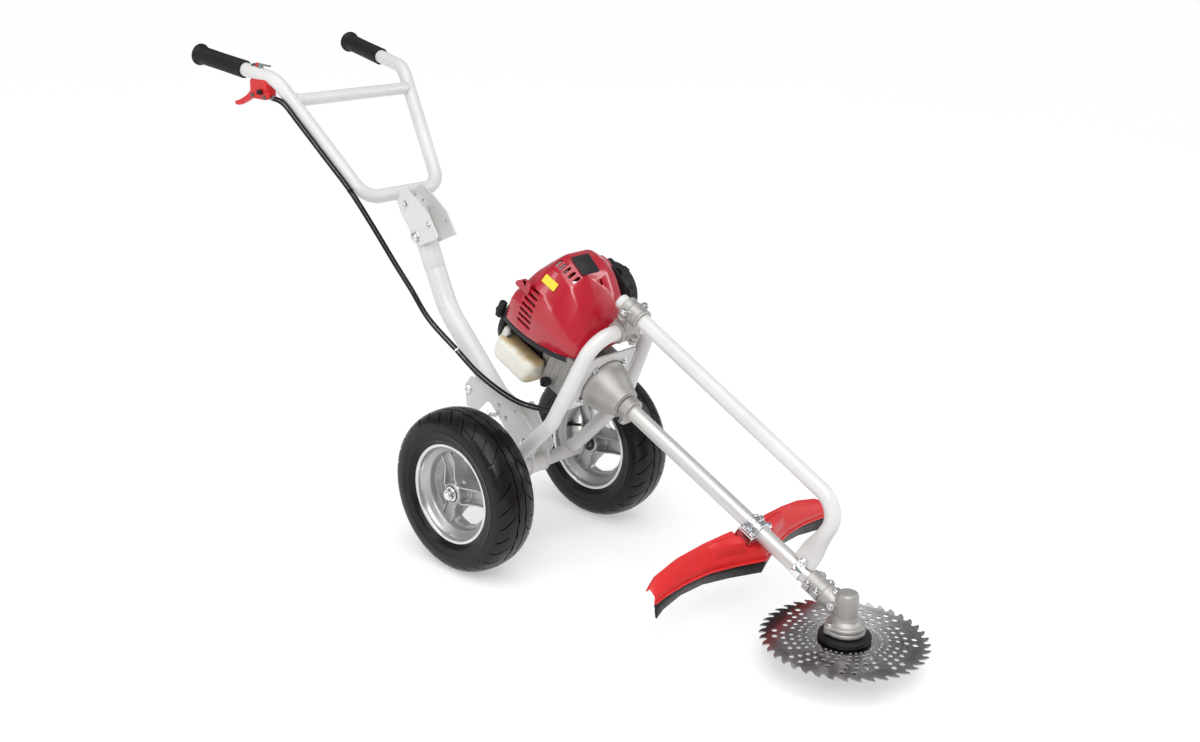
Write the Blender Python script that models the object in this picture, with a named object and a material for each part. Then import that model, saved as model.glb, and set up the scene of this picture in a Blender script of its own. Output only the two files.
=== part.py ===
"""A wheeled brush cutter: a small four-stroke engine drives a toothed blade through a straight tube.

The machine stands on two pneumatic wheels and a glide cup under the blade. Metres, +Z up, the blade
points to -Y and the operator walks at +Y. Most pieces are drawn in a machine frame whose origin is on
the ground under the wheel axle; the last step slides that frame so that the origin of the part is the
bottom centre of its box.
"""

import math

import bmesh
import bpy
from mathutils import Matrix, Vector
from mathutils.geometry import tessellate_polygon

GAP = 0.0003                     # clearance between pieces that touch

# Driving dimensions
TYRE_RADIUS = 0.140
TYRE_HALF_WIDTH = 0.0410
RIM_LIP_RADIUS = 0.0866
RIM_HALF_WIDTH = 0.0325
WHEEL_X = 0.166
AXLE_RADIUS = 0.006
AXLE_TUBE_RADIUS = 0.0125
AXLE_TUBE_HALF = 0.112
FRAME_TUBE_RADIUS = 0.0125
FRAME_TUBE_BORE = 0.0105
DRIVE_ANGLE = math.radians(25.3)      # slope of the drive tube
DRIVE_TUBE_RADIUS = 0.013
DRIVE_TUBE_BORE = 0.0115
ENGINE_FACE_Y = -0.152                # where the drive axis crosses the engine plate
HEAD_Y = -0.6535                      # vertical blade axis
HEAD_Z = 0.0914                       # where the drive axis meets the blade axis
BLADE_RADIUS = 0.1275
BLADE_TEETH = 40
BLADE_BOTTOM = 0.0490
BLADE_THICKNESS = 0.0018
TOP_TUBE_REAR = (-0.1914, 0.4750)     # (y, z) of the support tube's rear end
TOP_TUBE_CORNER = (-0.6333, 0.2512)
TOP_TUBE_FOOT = (-0.5734, 0.1464)
HOOP_TOP = 0.109                      # height of the hoop's crest over the drive axis
COLUMN_RADIUS = 0.019
TILT_PIVOT = (0.0008, 0.1801)         # (y, z) of the column's tilt bolt
FOLD_PIVOT = (0.2811, 0.4964)         # (y, z) of the handlebar's fold bolt
HANDLE_KNEE = (0.1445, 0.5065, 0.7610)
HANDLE_END = (0.1712, 0.6994, 0.7886)
HANDLE_FOOT = (0.0855, 0.3400, 0.5665)
GRIP_LENGTH = 0.118
CABLE_RADIUS = 0.0021
CABLE_SPREAD = (-0.0048, -0.0008, -0.0034)      # from the throttle cable to the stop switch's
GUARD_STATIONS = [0.0, 0.025, 0.037, 0.052, 0.075, 0.100, 0.125, 0.150, 0.175, 0.198, 0.212, 0.222]
GUARD_SHAPE = [
    # (|x|, rear edge y, rear edge z, lower edge y, lower edge z, skirt foot y, skirt foot z)
    (0.000, -0.458, 0.172, -0.501, 0.124, -0.495, 0.103), (0.05, -0.456, 0.173, -0.483, 0.1255, -0.474, 0.104),
    (0.1, -0.451, 0.17, -0.471, 0.127, -0.459, 0.105), (0.15, -0.446, 0.163, -0.467, 0.126, -0.457, 0.104),
    (0.2, -0.446, 0.151, -0.467, 0.122, -0.465, 0.101), (0.222, -0.452, 0.14, -0.469, 0.119, -0.473, 0.098),
]
CYLINDER_S = 0.054                # the cylinder's place along the crank axis
CRANK_RADIUS = 0.010
COVER_STATIONS = [
    # (s, top height, width factor, height of the lower edge)
    (0.0160, 0.0860, 0.80, 0.0560), (0.0300, 0.1070, 0.90, 0.0510), (0.0550, 0.1380, 0.97, 0.0440),
    (0.0850, 0.1640, 1.00, 0.0370), (0.1100, 0.1730, 1.00, 0.0320), (0.1350, 0.1700, 1.00, 0.0300),
    (0.1580, 0.1360, 0.98, 0.0290), (0.1720, 0.1000, 0.93, 0.0290),
]
COVER_SECTION = [(-0.085, None), (-0.088, 0.075), (-0.082, 0.110), (-0.060, 0.152), (-0.034, 0.170),
                 (0.018, 0.170), (0.040, 0.158), (0.052, 0.125), (0.055, 0.088)]
UPPER_RUN = [(-0.15, 0.5142, 0.732), (-0.15, 0.504, 0.7305), (-0.15, 0.476, 0.7245), (-0.141, 0.447, 0.6936),
             (-0.1245, 0.4005, 0.64), (-0.108, 0.3542, 0.5862), (-0.089, 0.319, 0.527), (-0.07, 0.28, 0.46),
             (-0.060, 0.2494, 0.4170), (-0.050, 0.2139, 0.3674), (-0.036, 0.1530, 0.3180)]
LOWER_RUN = [(-0.036, 0.152, 0.3172), (-0.035, 0.1063, 0.2914), (-0.035, 0.0508, 0.2723),
             (-0.04, -0.0036, 0.2657), (-0.050, -0.0615, 0.2727), (-0.055, -0.0930, 0.2800)]

# Finishes: base colour, roughness, metallic
WHITE = ((0.82, 0.81, 0.79), 0.35, 0.0)
CAST = ((0.52, 0.51, 0.49), 0.45, 0.9)
BRUSHED = ((0.66, 0.65, 0.63), 0.35, 0.9)
STEEL = ((0.55, 0.55, 0.56), 0.28, 1.0)
ZINC = ((0.72, 0.72, 0.74), 0.18, 1.0)
RUBBER = ((0.018, 0.018, 0.019), 0.75, 0.0)
BLACK = ((0.022, 0.022, 0.024), 0.45, 0.0)
GLOSS_RED = ((0.42, 0.012, 0.030), 0.18, 0.0)
BRIGHT_RED = ((0.80, 0.020, 0.018), 0.35, 0.0)
CREAM = ((0.78, 0.74, 0.62), 0.35, 0.0)


# ---------------------------------------------------------------- shapes as (vertices, faces)

def lathe(profile, steps, axis="Z", centre=(0, 0, 0), start=0.0):
    """Turns a closed outline of (radius, distance) points about an axis; radius 0 lies on the axis."""
    verts, rows, faces = [], [], []
    for radius, along in profile:
        if radius < 1e-7:
            rows.append([len(verts)] * steps)
            verts.append(placed(0.0, 0.0, along, axis, centre))
            continue
        rows.append(list(range(len(verts), len(verts) + steps)))
        for i in range(steps):
            turn = start + 2 * math.pi * i / steps
            verts.append(placed(radius * math.cos(turn), radius * math.sin(turn), along, axis, centre))
    for low, high in zip(rows, rows[1:] + rows[:1]):
        for i in range(steps):
            j = (i + 1) % steps
            corners = list(dict.fromkeys((low[i], low[j], high[j], high[i])))
            if len(corners) > 2:
                faces.append(corners)
    return verts, faces


def placed(u, v, along, axis, centre):
    """A point at (u, v) beside the axis and this far along it."""
    point = {"X": (along, u, v), "Y": (u, along, -v), "Z": (u, v, along)}[axis]
    return Vector(point) + Vector(centre)


def rod(radius, low, high, steps, axis="Z", centre=(0, 0, 0)):
    return lathe([(0, low), (radius, low), (radius, high), (0, high)], steps, axis, centre)


def pipe(outer, inner, low, high, steps, axis="Z", centre=(0, 0, 0)):
    return lathe([(inner, low), (outer, low), (outer, high), (inner, high)], steps, axis, centre)


def box(low, high):
    (x0, y0, z0), (x1, y1, z1) = low, high
    verts = [Vector((x, y, z)) for z in (z0, z1) for y in (y0, y1) for x in (x0, x1)]
    return verts, [(0, 2, 3, 1), (4, 5, 7, 6), (0, 1, 5, 4), (2, 6, 7, 3), (0, 4, 6, 2), (1, 3, 7, 5)]


def sheet(outline, low, high, axis="X", holes=()):
    """A flat plate between two distances along an axis, cut from an outline with holes."""
    loops = [outline, *holes]
    flat = [point for loop in loops for point in loop]
    order = {"X": lambda a, b, t: (t, a, b), "Y": lambda a, b, t: (a, t, b), "Z": lambda a, b, t: (a, b, t)}
    verts = [Vector(order[axis](a, b, t)) for t in (low, high) for a, b in flat]
    caps = tessellate_polygon([[Vector((a, b, 0)) for a, b in loop] for loop in loops])
    count = len(flat)
    faces = [tuple(tri) for tri in caps] + [tuple(i + count for i in reversed(tri)) for tri in caps]
    first = 0
    for loop in loops:
        for i in range(len(loop)):
            j = (i + 1) % len(loop)
            faces.append((first + i, first + j, first + j + count, first + i + count))
        first += len(loop)
    return verts, faces


def circle(centre, radius, steps, start=0.0):
    return [(centre[0] + radius * math.cos(start + 2 * math.pi * i / steps),
             centre[1] + radius * math.sin(start + 2 * math.pi * i / steps)) for i in range(steps)]


def rounded(points, radii, steps=4, closed=False):
    """The points with each corner replaced by an arc of its radius."""
    points = [Vector(p) for p in points]
    out = []
    for i, corner in enumerate(points):
        radius = radii[i] if isinstance(radii, (list, tuple)) else radii
        if not radius or (not closed and i in (0, len(points) - 1)):
            out.append(corner)
            continue
        before = (points[i - 1] - corner).normalized()
        after = (points[(i + 1) % len(points)] - corner).normalized()
        half = before.angle(after) / 2
        centre = corner + (before + after).normalized() * radius / math.sin(half)
        first = corner + before * radius / math.tan(half) - centre
        last = corner + after * radius / math.tan(half) - centre
        for k in range(steps + 1):
            out.append(centre + turned(first, last, k / steps))
    return out


def turned(first, last, share):
    """The arc point between two equally long vectors that aren't opposite."""
    angle = first.angle(last)
    return (first * math.sin(angle * (1 - share)) + last * math.sin(angle * share)) / math.sin(angle)


def hull_outline(lobes, steps=10):
    """The outline of a plate wrapped round (centre, radius) lobes that are given counter-clockwise."""
    out = []
    for i, (centre, radius) in enumerate(lobes):
        previous, following = lobes[i - 1], lobes[(i + 1) % len(lobes)]
        enter = tangent_angle(previous, (centre, radius))
        leave = tangent_angle((centre, radius), following)
        span = (leave - enter) % (2 * math.pi)
        count = max(1, round(steps * span / math.pi))
        for k in range(count + 1):
            angle = enter + span * k / count
            out.append((centre[0] + radius * math.cos(angle), centre[1] + radius * math.sin(angle)))
    return out


def tangent_angle(first, second):
    """The angle at which the outer tangent from one lobe to the next leaves both of them."""
    (ax, ay), ar = first
    (bx, by), br = second
    heading = math.atan2(by - ay, bx - ax)
    return heading - math.acos((ar - br) / math.hypot(bx - ax, by - ay))


def frames(path):
    """Sideways unit vectors along a path that turn as little as possible."""
    heading = [(b - a).normalized() for a, b in zip(path, path[1:])]
    tangents = [heading[0]] + [(a + b).normalized() for a, b in zip(heading, heading[1:])] + [heading[-1]]
    side = tangents[0].orthogonal().normalized()
    if abs(tangents[0].x) < 0.9:
        side = (Vector((1, 0, 0)) - tangents[0] * tangents[0].x).normalized()
    out = []
    for tangent in tangents:
        side = (side - tangent * side.dot(tangent)).normalized()
        out.append((side, tangent.cross(side)))
    return out, heading


def sweep(path, radius, bore=0.0, steps=14, flatten=None):
    """A round bar or tube along a path. flatten(i) gives the width and depth factors of station i."""
    path = [Vector(p) for p in path]
    sides, heading = frames(path)
    rings = []
    for size in ([radius, bore] if bore else [radius]):
        for i, (point, (u, v)) in enumerate(zip(path, sides)):
            wide, deep = flatten(i) if flatten else (1.0, 1.0)
            if size == bore:
                wide, deep = max(wide, 0.3), max(deep, 0.3)
            stretch = 1.0
            if 0 < i < len(path) - 1:
                stretch = 1 / max(0.5, math.cos(heading[i - 1].angle(heading[i]) / 2))
            bend = (heading[i] - heading[i - 1]).normalized() if 0 < i < len(path) - 1 else Vector()
            ring = []
            for k in range(steps):
                turn = 2 * math.pi * (k + 0.5) / steps
                offset = u * (size * wide * math.cos(turn)) + v * (size * deep * math.sin(turn))
                ring.append(point + offset + bend * (offset.dot(bend) * (stretch - 1)))
            rings.append(ring)
    verts = [p for ring in rings for p in ring]
    count = len(path)
    faces = []
    for start in range(0, len(rings), count):
        for i in range(start, start + count - 1):
            for k in range(steps):
                j = (k + 1) % steps
                faces.append((i * steps + k, i * steps + j, (i + 1) * steps + j, (i + 1) * steps + k))
    if bore:
        for end in (0, count - 1):
            for k in range(steps):
                j = (k + 1) % steps
                a, b = end * steps, (end + count) * steps
                faces.append((a + k, a + j, b + j, b + k))
    else:
        faces.append(tuple(range(steps)))
        faces.append(tuple(range((count - 1) * steps, count * steps)))
    return verts, faces


def moved(shape, matrix):
    verts, faces = shape
    return [matrix @ v for v in verts], faces


# ---------------------------------------------------------------- objects

def clear_scene():
    for obj in list(bpy.data.objects):
        bpy.data.objects.remove(obj, do_unlink=True)


def empty(name, parent=None, at=(0, 0, 0), turn=None):
    """A frame without shape that pieces are parented to."""
    holder = bpy.data.objects.new(name, None)
    bpy.context.scene.collection.objects.link(holder)
    holder.parent = parent
    holder.location = at
    if turn:
        holder.rotation_euler = turn
    return holder


def mesh_object(name, shape, parent):
    verts, faces = shape
    mesh = bpy.data.meshes.new(name)
    mesh.from_pydata([tuple(v) for v in verts], [], faces)
    work = bmesh.new()
    work.from_mesh(mesh)
    bmesh.ops.recalc_face_normals(work, faces=work.faces)
    work.to_mesh(mesh)
    work.free()
    obj = bpy.data.objects.new(name, mesh)
    bpy.context.scene.collection.objects.link(obj)
    obj.parent = parent
    return obj


def plain_material(name, finish):
    colour, roughness, metallic = finish
    material = bpy.data.materials.new(name)
    material.use_nodes = True
    shader = material.node_tree.nodes["Principled BSDF"]
    shader.inputs["Base Color"].default_value = (*colour, 1.0)
    shader.inputs["Roughness"].default_value = roughness
    shader.inputs["Metallic"].default_value = metallic
    return material


def piece(name, shape, finish, parent, cut=(), add=(), bevel=0.0):
    """One named sub-part. add and cut are shapes joined to it and taken from it."""
    obj = mesh_object(name, shape, parent)
    for number, (shapes, operation) in enumerate(((add, "UNION"), (cut, "DIFFERENCE"))):
        for k, extra in enumerate(shapes):
            tool = mesh_object(f"{name}_{operation.lower()}_{k}", extra, parent)
            tool.hide_render = True
            tool.display_type = "WIRE"
            step = obj.modifiers.new(f"{operation.title()} {number}.{k}", "BOOLEAN")
            step.operation = operation
            step.object = tool
    if bevel:
        edge = obj.modifiers.new("Edges", "BEVEL")
        edge.width = bevel
        edge.segments = 1
        edge.limit_method = "ANGLE"
        edge.angle_limit = math.radians(50)
    obj.data.materials.append(plain_material(name, finish))
    obj.data.shade_smooth()
    obj.data.set_sharp_from_angle(angle=math.radians(35))
    return obj


def rounded_box(low, high, radius, axis="X", steps=3):
    """A box whose four edges along one axis are rounded."""
    index = "XYZ".index(axis)
    a, b = [i for i in range(3) if i != index]
    corners = [(low[a], low[b]), (high[a], low[b]), (high[a], high[b]), (low[a], high[b])]
    outline = [tuple(p) for p in rounded(corners, radius, steps, closed=True)]
    return sheet(outline, low[index], high[index], axis)


# ---------------------------------------------------------------- running gear

def spoke_windows():
    """Three fan-shaped windows between the spokes, as (y, z) outlines."""
    windows = []
    for k in range(3):
        middle = math.radians(120 + 120 * k)
        fan = [(0.024, -0.30), (0.061, -0.82), (0.0625, -0.42), (0.063, 0.0), (0.0625, 0.42),
               (0.061, 0.82), (0.024, 0.30)]
        windows.append([(r * math.cos(middle + a), r * math.sin(middle + a)) for r, a in fan])
    return windows


def wheel(side, machine):
    """Tyre and cast three-spoke rim of one wheel; side is -1 on the operator's right."""
    word = "right" if side < 0 else "left"
    axis = empty(f"wheel_axis_{word}", machine, (side * WHEEL_X, 0, TYRE_RADIUS))
    outer = [(0.0838, -0.0296), (0.0872, -0.0297), (0.0905, -0.0365), (0.106, -TYRE_HALF_WIDTH), (0.122, -0.04),
             (0.1320, -0.0335), (0.1380, -0.0190), (TYRE_RADIUS, 0.0)]
    inner = [(0.1335, 0.0), (0.1270, 0.0280), (0.106, 0.0350), (0.094, 0.0295), (0.0838, 0.0240)]
    profile = outer + [(r, -x) for r, x in reversed(outer[:-1])]
    profile += [(r, x) for r, x in reversed(inner)] + [(r, -x) for r, x in inner[1:]]
    piece(f"tyre_{word}", lathe(profile, 26, "X"), RUBBER, axis)
    seat = 0.0832
    barrel = [(RIM_LIP_RADIUS, -RIM_HALF_WIDTH), (RIM_LIP_RADIUS, -0.03), (seat, -0.0298), (seat, -0.022),
              (0.0705, -0.0170)]
    lining = [(0.0665, 0.0160), (0.0790, 0.0230), (0.0800, RIM_HALF_WIDTH)]
    rim = barrel + [(r, -x) for r, x in reversed(barrel)] + [(r, x) for r, x in reversed(lining)]
    rim += [(r, -x) for r, x in lining]
    web = sheet(circle((0, 0), 0.0690, 26), -0.006, 0.008, "X", spoke_windows())
    hub = rod(0.0190, -0.029, 0.029, 20, "X")
    piece(f"rim_{word}", lathe(rim, 26, "X"), CAST, axis, add=[web, hub],
          cut=[rod(AXLE_RADIUS + GAP, -0.04, 0.04, 20, "X")])


def axle(machine):
    centre = (0, 0, TYRE_RADIUS)
    half = WHEEL_X + 0.0405
    piece("axle", rod(AXLE_RADIUS, -half, half, 12, "X", centre), STEEL, machine)
    sleeve = pipe(AXLE_TUBE_RADIUS, AXLE_RADIUS + GAP, -AXLE_TUBE_HALF, AXLE_TUBE_HALF, 20, "X", centre)
    piece("axle_tube", sleeve,
          WHITE, machine)
    for side, word in ((-1, "right"), (1, "left")):
        ends = sorted((side * (WHEEL_X + 0.0295), side * (WHEEL_X + 0.0375)))
        piece(f"wheel_nut_{word}", rod(0.0100, *ends, 6, "X", centre), ZINC, machine,
              cut=[rod(AXLE_RADIUS + GAP, -0.3, 0.3, 14, "X", centre)])


# ---------------------------------------------------------------- frame

def hoop_path(drive):
    """The hoop from the right foot over the crest to the left foot, in the machine frame."""
    shoulder = drive @ Vector((0.0690, -0.001, HOOP_TOP))
    knee = drive @ Vector((0.0870, -0.001, -0.0660))
    foot = Vector((0.0890, -0.0085, TYRE_RADIUS + 0.0145))
    half = [foot, knee, shoulder]
    corners = [Vector((-p.x, p.y, p.z)) for p in half] + list(reversed(half))
    return rounded(corners, [0, 0.06, 0.045, 0.045, 0.06, 0], 4)


def front_hoop(machine, drive):
    saddle = rod(AXLE_TUBE_RADIUS + GAP, -0.13, 0.13, 20, "X", (0, 0, TYRE_RADIUS))
    tube = sweep(hoop_path(drive), FRAME_TUBE_RADIUS, FRAME_TUBE_BORE, 12)
    piece("front_hoop", tube, WHITE, machine, cut=[saddle])


def top_tube(machine):
    """The support tube, whose lower end is bent back and flattened into a fin on the drive tube."""
    rear, corner, foot = [Vector((0, *p)) for p in (TOP_TUBE_REAR, TOP_TUBE_CORNER, TOP_TUBE_FOOT)]
    path = rounded([rear, corner, foot], [0, 0.042, 0], 6)
    start = path[-2]
    path = path[:-1] + [start.lerp(foot, k / 4) for k in range(1, 5)]
    last = len(path) - 1
    factors = {last - 3: (0.80, 1.15), last - 2: (0.52, 1.42), last - 1: (0.40, 1.56), last: (0.40, 1.56)}
    shape = sweep(path, FRAME_TUBE_RADIUS, FRAME_TUBE_BORE, 14, lambda i: factors.get(i, (1.0, 1.0)))
    slope = DRIVE_ANGLE
    centre = (0, HEAD_Y, HEAD_Z)
    relief = rod(DRIVE_TUBE_RADIUS + 0.0019 + GAP, 0, 0.2, 20, "Y")
    relief = moved(relief, Matrix.Translation(centre) @ Matrix.Rotation(slope, 4, "X"))
    piece("top_tube", shape, WHITE, machine, cut=[relief])


def cross_clamp(machine, drive):
    """The cast clamp that holds the support tube across the hoop's crest."""
    rear, corner = [Vector((0, *p)) for p in (TOP_TUBE_REAR, TOP_TUBE_CORNER)]
    run = (rear - corner).normalized()
    slope = math.atan2(run.z, run.y)
    crest = drive @ Vector((0, -0.001, HOOP_TOP))
    turn = Matrix.Rotation(slope, 4, "X")
    to_crest = Matrix.Translation(crest) @ turn
    local = to_crest.inverted() @ rear
    height = local.z
    bore = FRAME_TUBE_RADIUS + GAP
    shell = 0.0172
    frame = empty("clamp_frame", machine, crest, (slope, 0, 0))
    hoop_sleeve = rod(shell, -0.0200, 0.0200, 22, "X")
    tube_sleeve = rod(shell, -0.0240, local.y - 0.0140, 22, "Y", (0, 0, height))
    waist = rounded_box((-0.0125, -0.0125, 0.006), (0.0125, 0.0125, height - 0.006), 0.004, "Z")
    ears = [rounded_box((-0.031, -0.007, height - 0.0075), (0.031, 0.007, height + 0.0075), 0.003, "Z"),
            rounded_box((-0.0075, -0.0290, -0.0065), (0.0075, 0.0235, 0.0065), 0.003, "Z")]
    cuts = [rod(bore, -0.05, 0.05, 18, "X"), rod(bore, -0.05, 0.05, 18, "Y", (0, 0, height))]
    piece("cross_clamp", hoop_sleeve, CAST, frame, add=[tube_sleeve, waist, *ears], cut=cuts)


def engine_plate(engine):
    half_top, half_low = 0.0560, 0.0640
    corners = [(-half_top, 0.060), (-half_low, -0.042), (half_low, -0.042), (half_top, 0.060)]
    bolts = [(-0.0345, 0.0355), (0.0345, 0.0355), (0.0430, -0.0260), (-0.0430, -0.0260)]
    holes = [circle((0, 0), 0.0455, 28)] + [circle(p, 0.0033, 8) for p in bolts]
    outline = [tuple(p) for p in rounded(corners, 0.004, 2, closed=True)]
    shape = sheet(outline, -0.0020, 0.0018, "Y", holes)
    piece("engine_plate", shape, WHITE, engine)


# ---------------------------------------------------------------- drive line

def drive_line(machine, engine, spin):
    """Clutch housing, drive tube and gear case, with the shaft and drum that turn inside them."""
    head_s = along_drive(HEAD_Y)
    shell = [(0.0452, -0.0026), (0.0440, -0.0120), (0.0395, -0.0290), (0.0320, -0.0480), (0.0265, -0.0600),
             (0.0205, -0.0620), (0.0205, -0.0800)]
    cavity = [(0.0133, -0.0800), (0.0133, -0.0570), (0.0105, -0.0565), (0.0105, -0.0500), (0.0345, -0.0380),
              (0.0400, -0.0026)]
    lug = rounded_box((-0.0085, -0.0790, -0.0285), (0.0085, -0.0650, -0.0150), 0.002, "X")
    slot = box((-0.0010, -0.0830, -0.0300), (0.0010, -0.0630, -0.0125))
    piece("clutch_housing", lathe(shell + cavity, 24, "Y"), CAST, engine, add=[lug], cut=[slot])
    tube_end = head_s + 0.0560
    piece("drive_tube", pipe(DRIVE_TUBE_RADIUS, DRIVE_TUBE_BORE, tube_end, -0.059, 24, "Y"), BRUSHED, engine)
    pinion = bevel_gear(14, 0.0069, 0.0047, head_s + 0.0148, head_s + 0.0103)
    piece("drive_shaft", rod(0.0040, head_s + 0.0130, -0.0360, 10, "Y"), STEEL, spin, add=[pinion])
    drum = [(0.0043, -0.0470), (0.0080, -0.0470), (0.0100, -0.0370), (0.0330, -0.0345), (0.0330, -0.0120),
            (0.0303, -0.0120), (0.0303, -0.0320), (0.0043, -0.0340)]
    piece("clutch_drum", lathe(drum, 24, "Y"), STEEL, spin)


def bevel_gear(teeth, large, small, back, front):
    """A toothed cone along Y that narrows from back to front."""
    rings = []
    for radius, along in ((large, back), (small, front)):
        ring = []
        for i in range(teeth):
            for share, depth in ((0.0, 0.0), (0.30, 0.0), (0.45, 0.16), (0.85, 0.16)):
                turn = 2 * math.pi * (i + share) / teeth
                size = radius * (1 - depth)
                ring.append(Vector((size * math.cos(turn), along, size * math.sin(turn))))
        rings.append(ring)
    count = len(rings[0])
    faces = [(i, (i + 1) % count, (i + 1) % count + count, i + count) for i in range(count)]
    faces += [tuple(range(count)), tuple(range(count, 2 * count))]
    return rings[0] + rings[1], faces


def along_drive(y):
    return (y - ENGINE_FACE_Y) / math.cos(DRIVE_ANGLE)


def gear_case(machine, engine):
    """The angled head: a vertical housing, a flange above the blade and a split neck on the drive tube."""
    centre = (0, HEAD_Y, 0)
    body = lathe([(0, 0.1270), (0.0120, 0.1268), (0.0156, 0.1250), (0.0168, 0.1215), (0.0172, 0.0860),
                  (0.0215, 0.0800), (0.0290, 0.0765), (0.0305, 0.0745), (0.0305, 0.0625), (0, 0.0625)],
                 24, "Z", centre)
    tilt = Matrix.Translation((0, HEAD_Y, HEAD_Z)) @ Matrix.Rotation(DRIVE_ANGLE, 4, "X")
    neck = moved(lathe([(0, 0.0), (0.014, 0.0), (0.015, 0.03), (0.0178, 0.042), (0.0178, 0.076), (0, 0.076)],
                       20, "Y"), tilt)
    lugs = [moved(rounded_box((-0.0225, low, -0.0065), (0.0225, low + 0.0125, 0.0065), 0.003, "Y"), tilt)
            for low in (0.0445, 0.0625)]
    bore = moved(rod(DRIVE_TUBE_RADIUS + GAP, 0.0550, 0.0800, 20, "Y"), tilt)
    passage = moved(rod(0.0098, 0.0060, 0.0600, 15, "Y"), tilt)
    chamber = rod(0.0128, 0.0725, 0.1130, 22, "Z", centre)
    seat = rod(0.0063, 0.0600, 0.0800, 14, "Z", centre)
    piece("gear_case", body, CAST, machine, add=[neck, *lugs], cut=[bore, passage, chamber, seat])


def blade_stack(spindle):
    """Spindle with its bevel gear, holder and blade, in a frame on the blade axis at ground height."""
    top = BLADE_BOTTOM + BLADE_THICKNESS
    shaft = lathe([(0, 0.0100), (0.0048, 0.0100), (0.0048, top + 0.0095), (0.0060, top + 0.0097),
                   (0.0060, 0.0850), (0.0040, 0.0852), (0.0040, 0.1080), (0, 0.1080)], 14)
    gear = moved(bevel_gear(20, 0.0100, 0.0069, 0.1043, 0.1004), Matrix.Rotation(math.pi / 2, 4, "X"))
    piece("spindle", shaft, STEEL, spindle, add=[gear])
    holder = lathe([(0.0051, top + GAP), (0.037, top + GAP), (0.04, top + 0.003), (0.04, top + 0.007),
                    (0.0330, top + 0.0092), (0.0051, top + 0.0092)], 32)
    piece("blade_holder", holder, BLACK, spindle)
    teeth = []
    for i in range(BLADE_TEETH):
        for share, radius in ((0.10, 0.1178), (0.30, 0.1168), (0.88, 0.1262), (0.98, BLADE_RADIUS)):
            turn = 2 * math.pi * (i + share) / BLADE_TEETH + math.pi / 2
            teeth.append((radius * math.cos(turn), radius * math.sin(turn)))
    holes = [circle((0, 0), 0.0051, 12)]
    for i in range(12):
        turn = 2 * math.pi * i / 12
        radius = 0.064 if i % 2 else 0.090
        holes.append(circle((radius * math.cos(turn), radius * math.sin(turn)), 0.0045, 6))
    piece("blade", sheet(teeth, BLADE_BOTTOM, top, "Z", holes), STEEL, spindle)
    flange = rod(0.0190, 0.0450, BLADE_BOTTOM - GAP, 24)
    bore = rod(0.0051, 0.03, 0.06, 14)
    piece("blade_nut", rod(0.0100, 0.0390, 0.0470, 6), ZINC, spindle, add=[flange], cut=[bore])


def glide_cup(frame):
    """The free-turning cup under the blade that slides on the ground."""
    cup = [(0, 0), (0.0290, 0), (0.0360, 0.0040), (0.0395, 0.0130), (0.0400, 0.0395), (0.0365, 0.0395),
           (0.0355, 0.0150), (0.0300, 0.0060), (0.0120, 0.0060), (0.0105, 0.0360), (0.0051, 0.0360),
           (0.0051, 0.0080), (0, 0.0080)]
    piece("glide_cup", lathe(cup, 22), BLACK, frame)


# ---------------------------------------------------------------- guard

def guard_at(x):
    """The guard's edges this far from the middle, between the stations of GUARD_SHAPE."""
    reach = abs(x)
    for low, high in zip(GUARD_SHAPE, GUARD_SHAPE[1:]):
        if reach <= high[0]:
            share = (reach - low[0]) / (high[0] - low[0])
            return [a + (b - a) * share for a, b in zip(low, high)][1:]
    return list(GUARD_SHAPE[-1][1:])


def guard_row(x):
    """The guard's (y, z) profile at x, from its rear edge over the crown to its lower edge."""
    rear, top, front, low = guard_at(x)[:4]
    row = [(rear, top - 0.006), (rear - 0.006, top), (front + 0.006, (top + low) / 2 + 0.008),
           (front - 0.001, low + 0.012), (front, low)]
    rise = 1.4 * max(0.0, abs(x) - 0.027)
    return [(y, min(z, tube_height(y) - 0.0212 + rise)) for y, z in row[:3]] + row[3:]


def tube_height(y):
    """The height of the drive axis at this y."""
    return HEAD_Z + (y - HEAD_Y) * math.tan(DRIVE_ANGLE)


def drive_frame():
    """Where the engine plate's middle lies, with Y up along the drive tube towards the engine."""
    origin = Matrix.Translation((0, ENGINE_FACE_Y, tube_height(ENGINE_FACE_Y)))
    return origin @ Matrix.Rotation(DRIVE_ANGLE, 4, "X")


def guard(machine):
    stations = [-x for x in reversed(GUARD_STATIONS[1:])] + GUARD_STATIONS
    rows = [[Vector((x, y, z)) for y, z in guard_row(x)] for x in stations]
    shell = piece("guard", grid(rows), BRIGHT_RED, machine)
    thicken(shell, 0.0030)
    rows = []
    for x in stations:
        front, low, foot, ground = guard_at(x)[2:]
        rows.append([Vector((x, front, low - 2 * GAP)), Vector((x, foot, ground))])
    skirt = piece("guard_skirt", grid(rows), RUBBER, machine)
    thicken(skirt, 0.0030)


def grid(rows):
    """A sheet of quads through rows of equally many points."""
    width = len(rows[0])
    faces = []
    for i in range(len(rows) - 1):
        for k in range(width - 1):
            a = i * width + k
            faces.append((a, a + 1, a + 1 + width, a + width))
    return [p for row in rows for p in row], faces


def thicken(obj, thickness):
    step = obj.modifiers.new("Thickness", "SOLIDIFY")
    step.thickness = thickness
    step.offset = 0.0


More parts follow.
